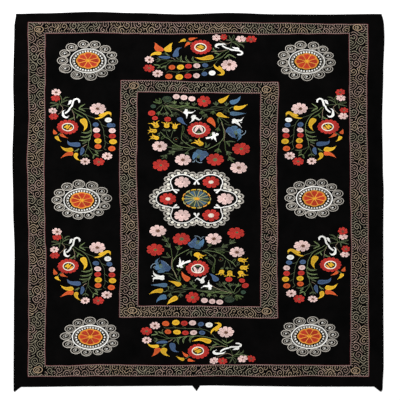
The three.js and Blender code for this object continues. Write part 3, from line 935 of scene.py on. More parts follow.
def lobe(facing, radius, count, thread, eye_radius):
    """One lobe of the medallion: scallops, a cord inside them, and a flower."""
    field = "medallion"
    cx, cy = polar(0, 0, LOBE_DISTANCE, facing)
    for i in range(-2, 4):
        heading = facing + (i - 0.5) * SCALLOP_STEP
        scallop(*polar(cx, cy, SCALLOP_DISTANCE, heading), heading)
    scallop(*polar(0, 0, 131, facing + 30), facing + 30)
    # the cord's ends run in and cross their neighbours'
    side = [polar(0, 0, 85, 36.5), polar(0, 0, 107, 30), polar(0, 0, 116, 25)]
    arc = [polar(LOBE_DISTANCE, 0, CORD_DISTANCE, a) for a in range(85, -86, -10)]
    path = smooth(side + arc + [(px, -py) for px, py in side[::-1]], 2)
    turned = Place(MEDALLION.x, MEDALLION.y, facing, 1)
    sew(field, "white", line(path, 5.2, 0.7), turned)
    for way in (1, -1):
        tail = [polar(0, 0, 105, way * 30.5), polar(0, 0, 83, way * 36.8)]
        sew(field, "white", blade(tail, 10, "club", 0.6), turned)
    sew(field, thread, flower(cx, cy, radius, count), MEDALLION)
    sew(field, PETAL_LINES[thread], petal_lines(cx, cy, radius, count), MEDALLION)
    if eye_radius:
        sew(field, "cream", eye(cx, cy, eye_radius), MEDALLION)
    else:
        sew(field, "blush", eye(cx, cy, 3), MEDALLION)


def many_rayed_disc():
    """The disc in the medallion's middle: dark blue and green rays, a yellow rim with small knots."""
    field = "medallion"
    sew(field, "black", [Patch(lobed(0, 0, 55, DISC_RAYS, 0.06), 0)], MEDALLION)
    for i in range(DISC_RAYS):
        heading = 90 + 360 * i / DISC_RAYS
        edge = heading + 180 / DISC_RAYS
        thread = ("slate", "slate_blue", "deep_green", "slate")[i % 4]
        ray = [polar(0, 0, 10, heading), polar(0, 0, 48, heading)]
        sew(field, thread, blade(ray, 19, "petal", 0.4), MEDALLION)
        sew(field, "reed", line([polar(0, 0, 10, edge), polar(0, 0, 49, edge)], 3.4, 1.1), MEDALLION)
        rim = [polar(0, 0, 53 + 2 * math.cos(math.radians(a * 9)), edge + a) for a in (-10, -5, 0, 5, 10)]
        sew(field, ("yellow", "reed", "amber")[i % 3], line(rim, 5.0, 0.8), MEDALLION)
        if i % 2:
            ox, oy = polar(0, 0, 51, edge)
            sew(field, "orange" if i % 3 else "yellow", spiral(ox, oy, 5.5, 3, 3, lift=1.0), MEDALLION)
    sew(field, "yellow", eye(-4, 1, 10), MEDALLION)
    sew(field, "amber", eye(6, -1, 8), MEDALLION)


def medallion():
    """Six lobes of scallops and cords, each round a flower, and a many-rayed disc in the middle."""
    for row in MEDALLION_FLOWERS:
        lobe(*row)
    many_rayed_disc()


# The scroll bands

Band = namedtuple("Band", "half_x half_y off_x off_y across_x across_y")
BANDS = {
    "outer": Band(670.5, 695.6, -1.6, -3.0, 72, 46.5),
    "inner": Band(311, 465.5, -0.2, -1.0, 72.6, 49.6),
}
# The larger cream scroll near each corner of a band: x, y from the layout's middle
CORNER_SCROLLS = {
    "outer": [(-625, 664), (623, 671), (-629, -671), (617, -674)],
    "inner": [(-253, 443), (267, 428), (-259, -438), (267, -441)],
}
CORNER_REACH = 21.0
# How far each band's outer and inner line lie out of a straight rectangle, as (along, out) rows, for the
# bottom, right, top and left side
BAND_EDGES = {
    "outer": (
        ([(-581, 0), (-436, -2.5), (-145, -2.5), (146, -3), (291, 0.5), (437, -3), (584, -0.5)],
         [(-606, 1), (-307, -1.5), (-8, -2), (141, -3.5), (290, -7.5), (440, -7), (589, -2.5)],
         [(-581, 0), (-290, 2.5), (-145, 0.5), (146, -1), (291, -3), (584, -7.5)],
         [(-606, -3), (-307, -5.5), (-8, -2.5), (141, 0.5), (290, -5), (589, -3)]),
        ([(-520, 1.5), (-392, -2.5), (-133, 0), (126, -1.5), (256, -3), (515, 0)],
         [(-570, -2), (-146, 1.5), (-6, -2), (133, -3), (275, -6), (556, -8)],
         [(-520, 1.5), (-392, 2.5), (-133, -2), (-3, -1.5), (126, 4), (256, -2.5), (515, 0)],
         [(-570, -1), (-287, -4.5), (-6, 3), (133, 3), (275, -1), (556, -1.5)]),
    ),
    "inner": (
        ([(-251, -0.5), (85, 0.5), (254, 3)],
         [(-387, 1.5), (-258, -0.5), (-128, 1.5), (131, -2), (261, 0), (389, 4.5)],
         [(-251, 0.5), (-168, 0), (1, -5), (254, -7)],
         [(-387, 0), (-258, -7.5), (-128, -5.5), (131, 1), (389, -5)]),
        ([(-198, 2), (1, 2), (67, 5), (201, 5.5)],
         [(-340, 3), (-112, 5.5), (116, 2.5), (342, 3.5)],
         [(-198, 2.5), (1, -1), (201, -2.5)],
         [(-340, -3), (-112, -4.5), (116, 2), (342, -0.5)]),
    ),
}
# The scroll's spirals: how far apart along a band, how far apart their turns, how wide the thread, where the
# first turn starts, how many turns, how far they end from a neighbour's, and how pointed they are
SCROLL_PERIOD = 40.0
SCROLL_PITCH = 9.3
SCROLL_CORD = 2.55
SCROLL_START = 2.8
SCROLL_TURNS = 5
SCROLL_GAP = 1.2
SCROLL_POINTEDNESS = 1.4
# The thin lines along each edge of a band: how far in, how wide, thread
EDGE_LINES = ((3.2, 2.2, "blush"), (1.0, 1.5, "crimson"))
EDGE_LINE_STEP = 24
# The picots: how far apart, how long, how far in they start, and the room the scroll leaves them
PICOT_STEP = 9.2
PICOT_REACH = 5.5
PICOT_INSET = 4.6
PICOT_ROOM = 4


def scroll_lines(length, half_across, seed):
    """Pointed spirals wound round two staggered rows of middles, each cut where a neighbour's begins.
    Lines are (along, across) as they lie, from 0 to length and from -half_across to half_across."""
    count = max(2, round(length / SCROLL_PERIOD))
    step = length / count
    middles = []
    for i in range(2 * count + 1):
        shift = noise.noise(Vector((i * 1.7, seed, 0.4)))
        sink = noise.noise(Vector((i * 2.3, seed, 7.4)))
        row = half_across * (0.56 + 0.8 * sink) * (1 if i % 2 else -1)
        middles.append((i * step / 2 + 20 * shift, row))

    def away(u, v, middle):
        power = SCROLL_POINTEDNESS
        return (abs(u - middle[0]) ** power + abs(v - middle[1]) ** power) ** (1 / power)

    made = []
    for order, (cu, cv) in enumerate(middles):
        near = [m for m in middles if m != (cu, cv) and abs(m[0] - cu) < 1.6 * step]
        for turn in range(SCROLL_TURNS):
            radius = SCROLL_START + turn * SCROLL_PITCH
            steps = max(10, int(radius * 1.2))
            run = []
            for i in range(steps + 1):
                angle = math.tau * i / steps + order * 0.7
                grow = radius + SCROLL_PITCH * (i / steps - 0.5)
                share = grow / away(math.cos(angle), math.sin(angle), (0, 0))
                u, v = cu + share * math.cos(angle), cv + share * math.sin(angle)
                inside = abs(v) < half_across and -1 < u < length + 1
                if inside and all(away(u, v, m) > grow - SCROLL_GAP for m in near):
                    run.append((u, v))
                else:
                    if len(run) > 1:
                        made.append(run)
                    run = []
            if len(run) > 1:
                made.append(run)
    return made


def band_thread(x, y):
    """The bands' thread changes its tint in stretches."""
    value = noise.noise(Vector((x * 0.012, y * 0.012, 8.5)))
    return "tan" if value > 0.12 else "taupe" if value > -0.14 else "ash"


def waver(x, y):
    """How far a band's edge line wavers in or out between the wider bows."""
    return 2.6 * noise.noise(Vector((x * 0.02, y * 0.014, 3.5)))


def band_point(name, x, y):
    """A place in a straight band, moved as the band's edges bow, and drawn in the round."""
    band = BANDS[name]
    depth = min((band.half_x - abs(x)) / band.across_x, (band.half_y - abs(y)) / band.across_y)
    inner = min(1.0, max(0.0, depth))
    s = min(1.0, max(0.0, 0.5 + x / (band.half_x - band.across_x) / 2))
    t = min(1.0, max(0.0, 0.5 + y / (band.half_y - band.across_y) / 2))
    moved_x, moved_y = x, y
    for weight, (bottom, right, top, left) in zip((1 - inner, inner), BAND_EDGES[name]):
        moved_x += weight * (s * wander(right, y) - (1 - s) * wander(left, y))
        moved_y += weight * (t * wander(top, x) - (1 - t) * wander(bottom, x))
    return moved_x, moved_y / LAID_HEIGHT


def box_line(hx, hy, step):
    """Places along a rectangle, with the way in from each."""
    made = []
    corners = [(-hx, -hy), (hx, -hy), (hx, hy), (-hx, hy)]
    for i in range(4):
        (x0, y0), (x1, y1) = corners[i], corners[(i + 1) % 4]
        laid = math.hypot(x1 - x0, (y1 - y0) * LAID_HEIGHT)
        count = round(laid / step)
        nx, ny = (y0 - y1), (x1 - x0)
        reach = math.hypot(nx, ny)
        made += [((x0 + (x1 - x0) * k / count, y0 + (y1 - y0) * k / count), (nx / reach, ny / reach))
                 for k in range(count)]
    return made


def split_clear(points, corners):
    """The runs of a line that stay clear of the corner scrolls."""
    made, run = [], []
    for x, y in points:
        if all(math.hypot(x - cx, y - cy) > CORNER_REACH for cx, cy in corners):
            run.append((x, y))
        else:
            made.append(run)
            run = []
    made.append(run)
    return [r for r in made if len(r) > 1]


def scroll_fill(name, place, corners):
    """The scroll pattern of a band's four sides. The upright sides run out to the corners."""
    band = BANDS[name]
    for half, other, across, upright in (
        (band.half_y, band.half_x, band.across_x, True),
        (band.half_x, band.half_y, band.across_y, False),
    ):
        reach = half - (PICOT_REACH if upright else band.across_x - PICOT_ROOM)
        clearance = (PICOT_REACH + PICOT_ROOM) * (1 if upright else LAID_HEIGHT)
        for side in (-1, 1):
            middle = side * (other - across / 2)
            for run in scroll_lines(2 * reach, across / 2 - clearance, half * 0.01 + side):
                if upright:
                    points = [band_point(name, middle + v * side, u - reach) for u, v in run]
                else:
                    points = [band_point(name, u - reach, middle - v * side) for u, v in run]
                for clear in split_clear(points, corners):
                    sew(name + "_band", band_thread(*clear[0]), line(clear, SCROLL_CORD), place)


def band_edge(name, place, inner):
    """The thin lines along a band's outer or inner edge, and its picots."""
    field = name + "_band"
    band = BANDS[name]
    way = -1 if inner else 1
    hx = band.half_x - inner * band.across_x
    hy = band.half_y / LAID_HEIGHT - inner * (band.across_y / LAID_HEIGHT)
    for inset, width, thread in EDGE_LINES:
        points = []
        for (px, py), (nx, ny) in box_line(hx - way * inset, hy - way * inset, EDGE_LINE_STEP):
            out = waver(px, py)
            points.append(band_point(name, px + nx * out, (py + ny * out) * LAID_HEIGHT))
        sew(field, thread, loop(points, width), place)
    # the picots: short bars from the edge line into the band
    for (px, py), (nx, ny) in box_line(hx - way * PICOT_INSET, hy - way * PICOT_INSET, PICOT_STEP):
        out = waver(px, py)
        head = band_point(name, px + nx * out, (py + ny * out) * LAID_HEIGHT)
        foot_x, foot_y = px + way * nx * PICOT_REACH, py + way * ny * PICOT_REACH
        foot = band_point(name, foot_x, foot_y * LAID_HEIGHT)
        sew(field, band_thread(px, py), line([head, foot], 3.0, -0.1), place)


def bands():
    """The two scroll bands, each with its edges and corner scrolls."""
    for name, band in BANDS.items():
        field = name + "_band"
        place = Place(band.off_x, band.off_y, 0, 1)
        corners = [(x - band.off_x, (y - band.off_y) / LAID_HEIGHT) for x, y in CORNER_SCROLLS[name]]
        scroll_fill(name, place, corners)
        for inner in (0, 1):
            band_edge(name, place, inner)
        for x, y in CORNER_SCROLLS[name]:
            spot = Place(x, y, 0, 1)
            sew(field, "sand", loop(ring(0, 0, 17.5, 22), 3.0, 0.5), spot)
            sew(field, "tan", spiral(0, 0, 13.0, 7.0, FINE_CORD, start=200, lift=0.3, hub=3), spot)
            sew(field, "sand", spiral(0, 0, 4.6, FINE_PITCH, FINE_CORD, lift=0.8), spot)


# From strands to meshes


def wobble(x, y):
    """The small wander of hand work, in millimetres."""
    at = Vector((x * 0.045, y * 0.045, 3.7))
    return noise.noise(at) * 1.1, noise.noise(at + Vector((9.1, 4.2, 0))) * 1.0


def edge_rise(distance):
    """The turned hem: a soft step up near the edge of the cloth."""
    t = min(1.0, max(0.0, (HEM_WIDTH - distance) / 3.0))
    fall = min(1.0, max(0.0, distance / 2.0))
    return HEM_RISE * t * t * (3 - 2 * t) * (0.35 + 0.65 * fall)


# Where the two faint seams run up the cloth, from the layout's middle
SEAMS = (-235.6, 238.0)


def ground_height(x, y):
    """The height of the cloth's face at a place from the layout's middle, in millimetres."""
    swell = noise.noise(Vector((x * 0.006, y * 0.008, 1.3))) * 0.5
    crease = noise.noise(Vector((x * 0.021, y * 0.017, 5.1))) * 0.22
    seam = sum(0.35 * math.exp(-((x - s) / 3.0) ** 2) - 0.25 * math.exp(-((x - s + 6) / 4.0) ** 2)
               for s in SEAMS)
    return GROUND_THICKNESS + swell + crease + seam


def scene_point(x, y, height):
    return ((MIDDLE_X + x) * MM, (MIDDLE_Y + y) * MM, height * MM)


def srgb(code):
    """A hex colour as linear red, green, blue and alpha."""
    made = []
    for k in (0, 2, 4):
        value = int(code[k:k + 2], 16) / 255
        made.append(value / 12.92 if value <= 0.04045 else ((value + 0.055) / 1.055) ** 2.4)
    return (*made, 1.0)


def add_node(tree, kind, settings=None, inputs=None, **links):
    """Adds a node, sets its own settings and its sockets' values, and links sockets to others' outputs."""
    node = tree.nodes.new(kind)
    for name, value in (settings or {}).items():
        setattr(node, name, value)
    for name, value in (inputs or {}).items():
        node.inputs[name].default_value = value
    for name, source in links.items():
        tree.links.new(source, node.inputs[name.replace("_", " ")])
    return node


def new_material(name):
    material = bpy.data.materials.new(name)
    material.use_nodes = True
    tree = material.node_tree
    tree.nodes.clear()
    out = tree.nodes.new("ShaderNodeOutputMaterial")
    return material, tree, out


def thread_material(name, code):
    """Stranded cotton in chain stitch: matt, a little silky, its tone changing from row to row at random and
    by painted highlight and painted shade.
    """
    material, tree, out = new_material(name)
    base = srgb(code)
    # darkest and lightest are the ends of the random tone and of the painted shade and painted highlight
    darkest = tuple(c * 0.6 for c in base[:3]) + (1.0,)
    lightest = tuple(min(1.0, c * 1.12 + 0.01) for c in base[:3]) + (1.0,)
    place = add_node(tree, "ShaderNodeTexCoord").outputs["Object"]
    # the tone attribute holds each row's random tone, with painted highlight on outer rows and painted shade
    # on inner rows, berries' middles and patches
    tone = add_node(tree, "ShaderNodeAttribute", {"attribute_name": "tone"}).outputs["Fac"]
    # fading in patches of about 60 mm, and the thread's own unevenness at about 3 mm
    fade = add_node(tree, "ShaderNodeTexNoise", inputs={"Scale": 1000 / 60, "Detail": 2.0}, Vector=place)
    fibre = add_node(tree, "ShaderNodeTexNoise", inputs={"Scale": 1000 / 3, "Detail": 3.0}, Vector=place)
    spread = add_node(tree, "ShaderNodeMath", {"operation": "MULTIPLY_ADD"}, {1: 0.45})
    tree.links.new(fade.outputs["Fac"], spread.inputs[0])
    tree.links.new(tone, spread.inputs[2])
    sum_all = add_node(tree, "ShaderNodeMath", {"operation": "MULTIPLY_ADD"}, {1: 0.35})
    tree.links.new(fibre.outputs["Fac"], sum_all.inputs[0])
    tree.links.new(spread.outputs[0], sum_all.inputs[2])
    ramp = add_node(tree, "ShaderNodeMapRange", inputs={"From Min": 0.35, "From Max": 1.35})
    tree.links.new(sum_all.outputs[0], ramp.inputs["Value"])
    mix = add_node(tree, "ShaderNodeMix", {"data_type": "RGBA"})
    mix.inputs[6].default_value = darkest
    mix.inputs[7].default_value = lightest
    tree.links.new(ramp.outputs["Result"], mix.inputs[0])
    bump = add_node(tree, "ShaderNodeBump", inputs={"Strength": 0.35, "Distance": 0.0006},
                    Height=fibre.outputs["Fac"])
    shader = add_node(tree, "ShaderNodeBsdfPrincipled",
                      inputs={"Roughness": 0.62, "Specular IOR Level": 0.15, "Sheen Weight": 0.08,
                              "Sheen Roughness": 0.45},
                      Base_Color=mix.outputs[2], Normal=bump.outputs["Normal"])
    tree.links.new(shader.outputs["BSDF"], out.inputs["Surface"])
    return material


def sateen_material():
    """Plain black cotton sateen: no gloss, a close weave, and a little dust that greys it in patches."""
    material, tree, out = new_material("black cotton sateen, woven")
    place = add_node(tree, "ShaderNodeTexCoord").outputs["Object"]
    # the weave is drawn at 1.2 mm, coarser than its threads, so that it shows
    thread = {"Scale": 1000 / 1.2 / math.tau * 2, "Distortion": 1.5, "Detail": 2.0}
    warp = add_node(tree, "ShaderNodeTexWave", {"wave_type": "BANDS", "bands_direction": "X"}, thread,
                    Vector=place)
    weft = add_node(tree, "ShaderNodeTexWave", {"wave_type": "BANDS", "bands_direction": "Y"}, thread,
                    Vector=place)
    cross = add_node(tree, "ShaderNodeMath", {"operation": "MAXIMUM"})
    tree.links.new(warp.outputs["Fac"], cross.inputs[0])
    tree.links.new(weft.outputs["Fac"], cross.inputs[1])
    dust = add_node(tree, "ShaderNodeTexNoise", inputs={"Scale": 1000 / 90, "Detail": 5.0, "Roughness": 0.6},
                    Vector=place)
    ramp = add_node(tree, "ShaderNodeMapRange", inputs={"From Min": 0.35, "From Max": 0.75},
                    Value=dust.outputs["Fac"])
    mix = add_node(tree, "ShaderNodeMix", {"data_type": "RGBA"})
    mix.inputs[6].default_value = srgb("050505")
    mix.inputs[7].default_value = srgb("0a0909")
    tree.links.new(ramp.outputs["Result"], mix.inputs[0])
    bump = add_node(tree, "ShaderNodeBump", inputs={"Strength": 0.3, "Distance": 0.0003},
                    Height=cross.outputs[0])
    shader = add_node(tree, "ShaderNodeBsdfPrincipled",
                      inputs={"Roughness": 0.95, "Specular IOR Level": 0.0},
                      Base_Color=mix.outputs[2], Normal=bump.outputs["Normal"])
    tree.links.new(shader.outputs["BSDF"], out.inputs["Surface"])
    return material


def chain_stitch_tree():
    """Geometry Nodes: lines to rows of chain stitch, each link pinched where the next one starts."""
    tree = bpy.data.node_groups.new("chain stitch", "GeometryNodeTree")
    tree.is_modifier = True
    face = tree.interface
    face.new_socket("Geometry", in_out="INPUT", socket_type="NodeSocketGeometry")
    length = face.new_socket("Stitch length", in_out="INPUT", socket_type="NodeSocketFloat")
    length.default_value = STITCH_LENGTH * MM
    pinch = face.new_socket("Pinch", in_out="INPUT", socket_type="NodeSocketFloat")
    pinch.default_value = 0.66
    flatness = face.new_socket("Flatness", in_out="INPUT", socket_type="NodeSocketFloat")
    flatness.default_value = 0.72
    finish = face.new_socket("Thread", in_out="INPUT", socket_type="NodeSocketMaterial")
    face.new_socket("Geometry", in_out="OUTPUT", socket_type="NodeSocketGeometry")
    start = tree.nodes.new("NodeGroupInput").outputs
    end = tree.nodes.new("NodeGroupOutput")
    curve = add_node(tree, "GeometryNodeMeshToCurve", Mesh=start["Geometry"])
    half = add_node(tree, "ShaderNodeMath", {"operation": "MULTIPLY"}, {1: 0.5})
    tree.links.new(start["Stitch length"], half.inputs[0])
    spaced = add_node(tree, "GeometryNodeResampleCurve", {"mode": "LENGTH"}, Curve=curve.outputs[0],
                      Length=half.outputs[0])
    upright = add_node(tree, "GeometryNodeSetCurveNormal", {"mode": "Z_UP"}, Curve=spaced.outputs[0])
    width = add_node(tree, "GeometryNodeInputNamedAttribute", {"data_type": "FLOAT"}, {"Name": "width"})
    index = tree.nodes.new("GeometryNodeInputIndex")
    odd = add_node(tree, "ShaderNodeMath", {"operation": "MODULO"}, {1: 2.0})
    tree.links.new(index.outputs[0], odd.inputs[0])
    pinched = add_node(tree, "ShaderNodeMix", {"data_type": "FLOAT"})
    tree.links.new(odd.outputs[0], pinched.inputs[0])
    pinched.inputs[2].default_value = 1.0
    tree.links.new(start["Pinch"], pinched.inputs[3])
    radius = add_node(tree, "ShaderNodeMath", {"operation": "MULTIPLY"})
    tree.links.new(width.outputs["Attribute"], radius.inputs[0])
    tree.links.new(pinched.outputs[0], radius.inputs[1])
    sized = add_node(tree, "GeometryNodeSetCurveRadius", Curve=upright.outputs[0], Radius=radius.outputs[0])
    circle = add_node(tree, "GeometryNodeCurvePrimitiveCircle", {"mode": "RADIUS"},
                      {"Resolution": 4, "Radius": 0.5})
    flat = add_node(tree, "ShaderNodeCombineXYZ", inputs={"X": 1.0, "Z": 1.0})
    tree.links.new(start["Flatness"], flat.inputs["Y"])
    section = add_node(tree, "GeometryNodeTransform", Geometry=circle.outputs[0], Scale=flat.outputs[0])
    swept = add_node(tree, "GeometryNodeCurveToMesh", inputs={"Fill Caps": True}, Curve=sized.outputs[0],
                     Profile_Curve=section.outputs[0])
    tree.links.new(radius.outputs[0], swept.inputs["Scale"])
    round_off = add_node(tree, "GeometryNodeSetShadeSmooth", Geometry=swept.outputs[0])
    real = add_node(tree, "GeometryNodeRealizeInstances", Geometry=round_off.outputs[0])
    dyed = add_node(tree, "GeometryNodeSetMaterial", Geometry=real.outputs[0], Material=start["Thread"])
    tree.links.new(dyed.outputs[0], end.inputs[0])
    return tree, {"Stitch length": length.identifier, "Thread": finish.identifier}


STITCHER, STITCHER_INPUTS = chain_stitch_tree()


def strands_mesh(name, strands, material):
    """One mesh of swept strands."""
    points, edges, widths, tones = [], [], [], []
    for order, strand in enumerate(strands):
        first = len(points)
        tone = strand.tone + TONE_SPREAD * math.sin(order * 12.9898)
        for x, y in strand.points:
            wx, wy = wobble(x, y)
            height = ground_height(x, y) + strand.lift + strand.width * STRAND_SEAT - STRAND_SINK
            points.append(scene_point(x + wx, y + wy, height))
            widths.append(strand.width * MM)
            tones.append(tone)
        last = len(points) - 1
        edges += [(i, i + 1) for i in range(first, last)]
        if strand.closed:
            edges.append((last, first))
    mesh = bpy.data.meshes.new(name)
    mesh.from_pydata(points, edges, [])
    mesh.attributes.new("width", "FLOAT", "POINT").data.foreach_set("value", widths)
    mesh.attributes.new("tone", "FLOAT", "POINT").data.foreach_set("value", tones)
    obj = bpy.data.objects.new(name + "_lines", mesh)
    bpy.context.scene.collection.objects.link(obj)
    modifier = obj.modifiers.new("stitches", "NODES")
    modifier.node_group = STITCHER
    modifier[STITCHER_INPUTS["Stitch length"]] = STITCH_LENGTH * MM
    modifier[STITCHER_INPUTS["Thread"]] = material
    bpy.context.view_layer.update()
    graph = bpy.context.evaluated_depsgraph_get()
    made = bpy.data.meshes.new_from_object(obj.evaluated_get(graph), depsgraph=graph)
    bpy.data.objects.remove(obj)
    made.name = name
    return made


def patches_into(mesh, patches):
    """Adds the low closed patches that lie under the filled motifs, in a darker tone that is painted shade
    between the rows.
    """
    bm = bmesh.new()
    bm.from_mesh(mesh)
    tone = bm.verts.layers.float.get("tone") or bm.verts.layers.float.new("tone")
    for patch in patches:
        bottom, top = [], []
        for x, y in patch.points:
            wx, wy = wobble(x, y)
            height = ground_height(x, y) + patch.lift
            low_vert = bm.verts.new(scene_point(x + wx, y + wy, height - PATCH_SINK))
            top_vert = bm.verts.new(scene_point(x + wx, y + wy, height + PATCH_RISE))
            # the patch's dark tone is painted shade under the rows of stitch
            low_vert[tone] = top_vert[tone] = PATCH_PAINTED_SHADE_TONE
            bottom.append(low_vert)
            top.append(top_vert)
        turn = sum(a.co.x * b.co.y - b.co.x * a.co.y for a, b in zip(top, top[1:] + top[:1]))
        if turn < 0:
            bottom.reverse()
            top.reverse()
        lid = [bm.faces.new(top), bm.faces.new(bottom[::-1])]
        for face in lid:
            face.normal_update()
        count = len(top)
        for i in range(count):
            j = (i + 1) % count
            bm.faces.new((bottom[i], bottom[j], top[j], top[i]))
        bmesh.ops.triangulate(bm, faces=lid)
    bm.to_mesh(mesh)
    bm.free()


THREADS = {
    # thread: colour, and a slot name
    "red": ("bd281c", "red_thread"),
    "vermilion": ("c2380f", "red_thread"),
    "crimson": ("6e1c24", "red_thread"),
    "pink": ("eacac4", "pink_thread"),
    "blush": ("94807a", "pink_thread"),
    "yellow": ("e2b420", "warm_thread"),
    "amber": ("e89c34", "warm_thread"),
    "orange": ("d65a1e", "warm_thread"),
    "blue": ("3e5a80", "blue_thread"),
    "pale_blue": ("4f789c", "blue_thread"),
    "slate_blue": ("466884", "blue_thread"),
    "slate": ("34505c", "blue_thread"),
    "ice": ("9cb4c4", "blue_thread"),
    "green": ("586e38", "green_thread"),
    "sage": ("7e925c", "green_thread"),
    "moss": ("5a6844", "green_thread"),
    "olive": ("3c4628", "green_thread"),
    "deep_green": ("24402e", "green_thread"),
    "reed": ("b0ac6c", "green_thread"),
    "rust": ("6a4430", "band_thread"),
    "tan": ("ac967c", "band_thread"),
    "taupe": ("a88e80", "band_thread"),
    "ash": ("9a917a", "band_thread"),
    "sand": ("b89c7c", "band_thread"),
    "white": ("f8f6ee", "white_thread"),
    "cream": ("f0ecdc", "white_thread"),
    "silver": ("c0bab0", "white_thread"),
    "grey": ("a49e94", "white_thread"),
    "black": ("080808", "black_cotton"),
}
THREAD_NAMES = {key: "stranded cotton, " + key.replace("_", " ") + ", chain stitched" for key in THREADS}


def embroider():
    """Makes one piece for each field and thread."""
    for order, place in enumerate(SPRAYS):
        spray(order, place)
    for place in BOUQUETS:
        bouquet(place)
    for row in ROSETTES:
        rosette(*row)
    medallion()
    bands()
    materials = {}
    for (field, thread), parts in sorted(work.items()):
        code, slot = THREADS[thread]
        if thread not in materials:
            materials[thread] = thread_material(THREAD_NAMES[thread], code)
        name = field + "_" + thread
        strands = [part for part in parts if isinstance(part, Strand)]
        patches = [part for part in parts if isinstance(part, Patch)]
        mesh = strands_mesh(name, strands, materials[thread])
        if patches:
            patches_into(mesh, patches)
        if not mesh.materials:
            mesh.materials.append(materials[thread])
        piece = bpy.data.objects.new(name, mesh)
        bpy.context.scene.collection.objects.link(piece)
        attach(piece, "root")


# The cloth

# How far each edge of the cloth lies out of a straight one, as (along, out) rows. The bottom edge's three
# peaks are the small corners of cloth that hang below it
TOP_EDGE = [(-716, -2), (-620, 0), (-420, 5.5), (-250, 1), (-65, -4), (120, 1.5), (312, -4), (500, -5),
            (706, -3), (725, -3.4)]
RIGHT_EDGE = [(-732, -3), (-717, -2), (-637, 1.5), (-400, 0.5), (-150, 0), (40, 1.5), (120, -1.5), (306, -4),
              (500, 0), (640, 4.5), (691, 3), (712, -0.5), (732, -7)]
BOTTOM_EDGE = [(-725, 18), (-721, 22), (-708, 11), (-696, 2.5), (-395, -0.5), (-110, -1.5), (-23, -2.5),
               (-6, 18.6), (8, -3), (45, -3.6), (200, -1.2), (454, 1.3), (692, 1), (704, 11), (713, 18),
               (720, 21.5), (725, 12)]
LEFT_EDGE = [(-732, 0), (-700, 0.5), (-400, -1), (-213, -3.5), (-24, 2), (165, 5), (350, 0), (450, 2),
             (680, -2.5), (732, -9)]
# How fast the top and bottom edges' bows fade into the cloth
EDGE_FADE = 6
# Where the cloth's grid runs, close together: from each edge, beside each seam, and at the small corners
HEM_LINES = (0, 1.2, 3, 6, 9, 11, 13, 16, 22)
BESIDE_SEAM = (-9, -5, -2.5, 0, 2.5, 5, 9)
SMALL_CORNER_LINES = [-720, -714, -708, -702, -696, -23, -18, -12, -6, 0, 8, 692, 699, 706, 712, 717, 722]
GRID_START = 30
GRID_STEPS = 96


def grid_lines(half, extra):
    """Places across the cloth, close together at the hem and about 15 mm apart between."""
    made = [-half + r for r in HEM_LINES] + [half - r for r in HEM_LINES]
    span = 2 * half - 2 * GRID_START
    made += [-half + GRID_START + span * i / GRID_STEPS for i in range(GRID_STEPS + 1)]
    made += [e for e in extra if abs(e) < half]
    return sorted(set(round(m, 2) for m in made))


def cloth():
    """The black ground: one closed sheet, its face uneven, its back flat on the surface."""
    seam_lines = [s + d for s in SEAMS for d in BESIDE_SEAM]
    xs = grid_lines(HALF_WIDTH, seam_lines + SMALL_CORNER_LINES)
    ys = grid_lines(HALF_LENGTH, [])
    columns, rows = len(xs), len(ys)
    top, bottom = [], []
    for y in ys:
        for x in xs:
            s = (x + HALF_WIDTH) / (2 * HALF_WIDTH)
            t = (y + HALF_LENGTH) / (2 * HALF_LENGTH)
            px = x - (1 - s) * wander(LEFT_EDGE, y) + s * wander(RIGHT_EDGE, y)
            py = y - (1 - t) ** EDGE_FADE * wander(BOTTOM_EDGE, x) + t ** EDGE_FADE * wander(TOP_EDGE, x)
            distance = min(HALF_WIDTH - abs(x), HALF_LENGTH - abs(y))
            height = ground_height(px, py - DESIGN_Y) + edge_rise(distance)
            height -= 1.3 * max(0.0, 1 - distance / 1.2)
            place = scene_point(px, py - DESIGN_Y, height)
            top.append(place)
            bottom.append((place[0], place[1], 0.0))
    count = len(top)
    faces = []
    for j in range(rows - 1):
        for i in range(columns - 1):
            a = j * columns + i
            b, c, d = a + 1, a + columns + 1, a + columns
            faces.append((a, b, c, d))
            faces.append((count + d, count + c, count + b, count + a))
    rim = list(range(columns))
    rim += [j * columns + columns - 1 for j in range(1, rows)]
    rim += [(rows - 1) * columns + i for i in range(columns - 2, -1, -1)]
    rim += [j * columns for j in range(rows - 2, 0, -1)]
    for a, b in zip(rim, rim[1:] + rim[:1]):
        faces.append((a, count + a, count + b, b))
    mesh = bpy.data.meshes.new("cloth")
    mesh.from_pydata(top + bottom, [], faces)
    mesh.polygons.foreach_set("use_smooth", [True] * len(mesh.polygons))
    mesh.materials.append(sateen_material())
    piece = bpy.data.objects.new("black_ground", mesh)
    bpy.context.scene.collection.objects.link(piece)
    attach(piece, "root")
    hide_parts("ground_cloth")


# The floor, the light and the camera


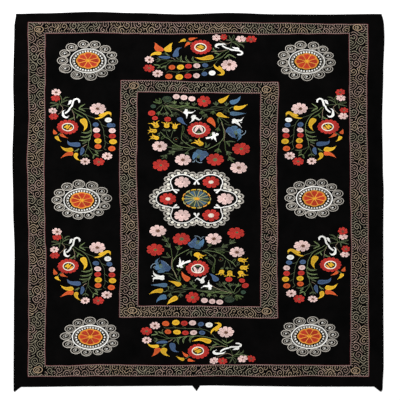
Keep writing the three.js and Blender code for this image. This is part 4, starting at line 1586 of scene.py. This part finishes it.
def floor():
    """A wide white floor under the cloth."""
    half = 9.0
    corners = [(-half, -half, 0), (half, -half, 0), (half, half, 0), (-half, half, 0)]
    mesh = bpy.data.meshes.new("floor")
    mesh.from_pydata(corners, [], [(0, 1, 2, 3)])
    material, tree, out = new_material("matt white paper")
    shader = add_node(tree, "ShaderNodeBsdfPrincipled",
                      inputs={"Base Color": srgb("fbfbfb"), "Roughness": 0.9, "Specular IOR Level": 0.2})
    tree.links.new(shader.outputs["BSDF"], out.inputs["Surface"])
    mesh.materials.append(material)
    obj = bpy.data.objects.new("floor", mesh)
    bpy.context.scene.collection.objects.link(obj)


def light():
    """An even white room, and one soft lamp from the upper left that shows the stitches' relief."""
    scene = bpy.context.scene
    scene.view_settings.view_transform = "Standard"
    world = bpy.data.worlds.new("room")
    scene.world = world
    world.use_nodes = True
    world.node_tree.nodes["Background"].inputs["Color"].default_value = (1, 1, 1, 1)
    world.node_tree.nodes["Background"].inputs["Strength"].default_value = 0.78
    data = bpy.data.lights.new("soft_lamp", "AREA")
    data.shape = "DISK"
    data.size = 1.6
    data.energy = 165
    lamp = bpy.data.objects.new("soft_lamp", data)
    lamp.location = (-2.2, 2.4, 3.2)
    lamp.rotation_euler = (-Vector(lamp.location)).to_track_quat("-Z", "Y").to_euler()
    scene.collection.objects.link(lamp)


def camera():
    """Straight above, with the cloth at its place in the photograph's frame."""
    lens, sensor = 85.0, 36.0
    width = PHOTO_PIXELS * MM_PER_PIXEL * MM
    data = bpy.data.cameras.new("camera")
    data.lens = lens
    data.sensor_width = sensor
    obj = bpy.data.objects.new("camera", data)
    middle = PHOTO_PIXELS / 2
    obj.location = (
        (low[0] + high[0]) / 2 + (middle - PHOTO_CLOTH_MIDDLE[0]) * MM_PER_PIXEL * MM,
        (low[1] + high[1]) / 2 + (PHOTO_CLOTH_MIDDLE[1] - middle) * MM_PER_PIXEL * MM,
        width * lens / sensor,
    )
    bpy.context.scene.collection.objects.link(obj)
    bpy.context.scene.camera = obj


camera()
light()
floor()
cloth()
embroider()
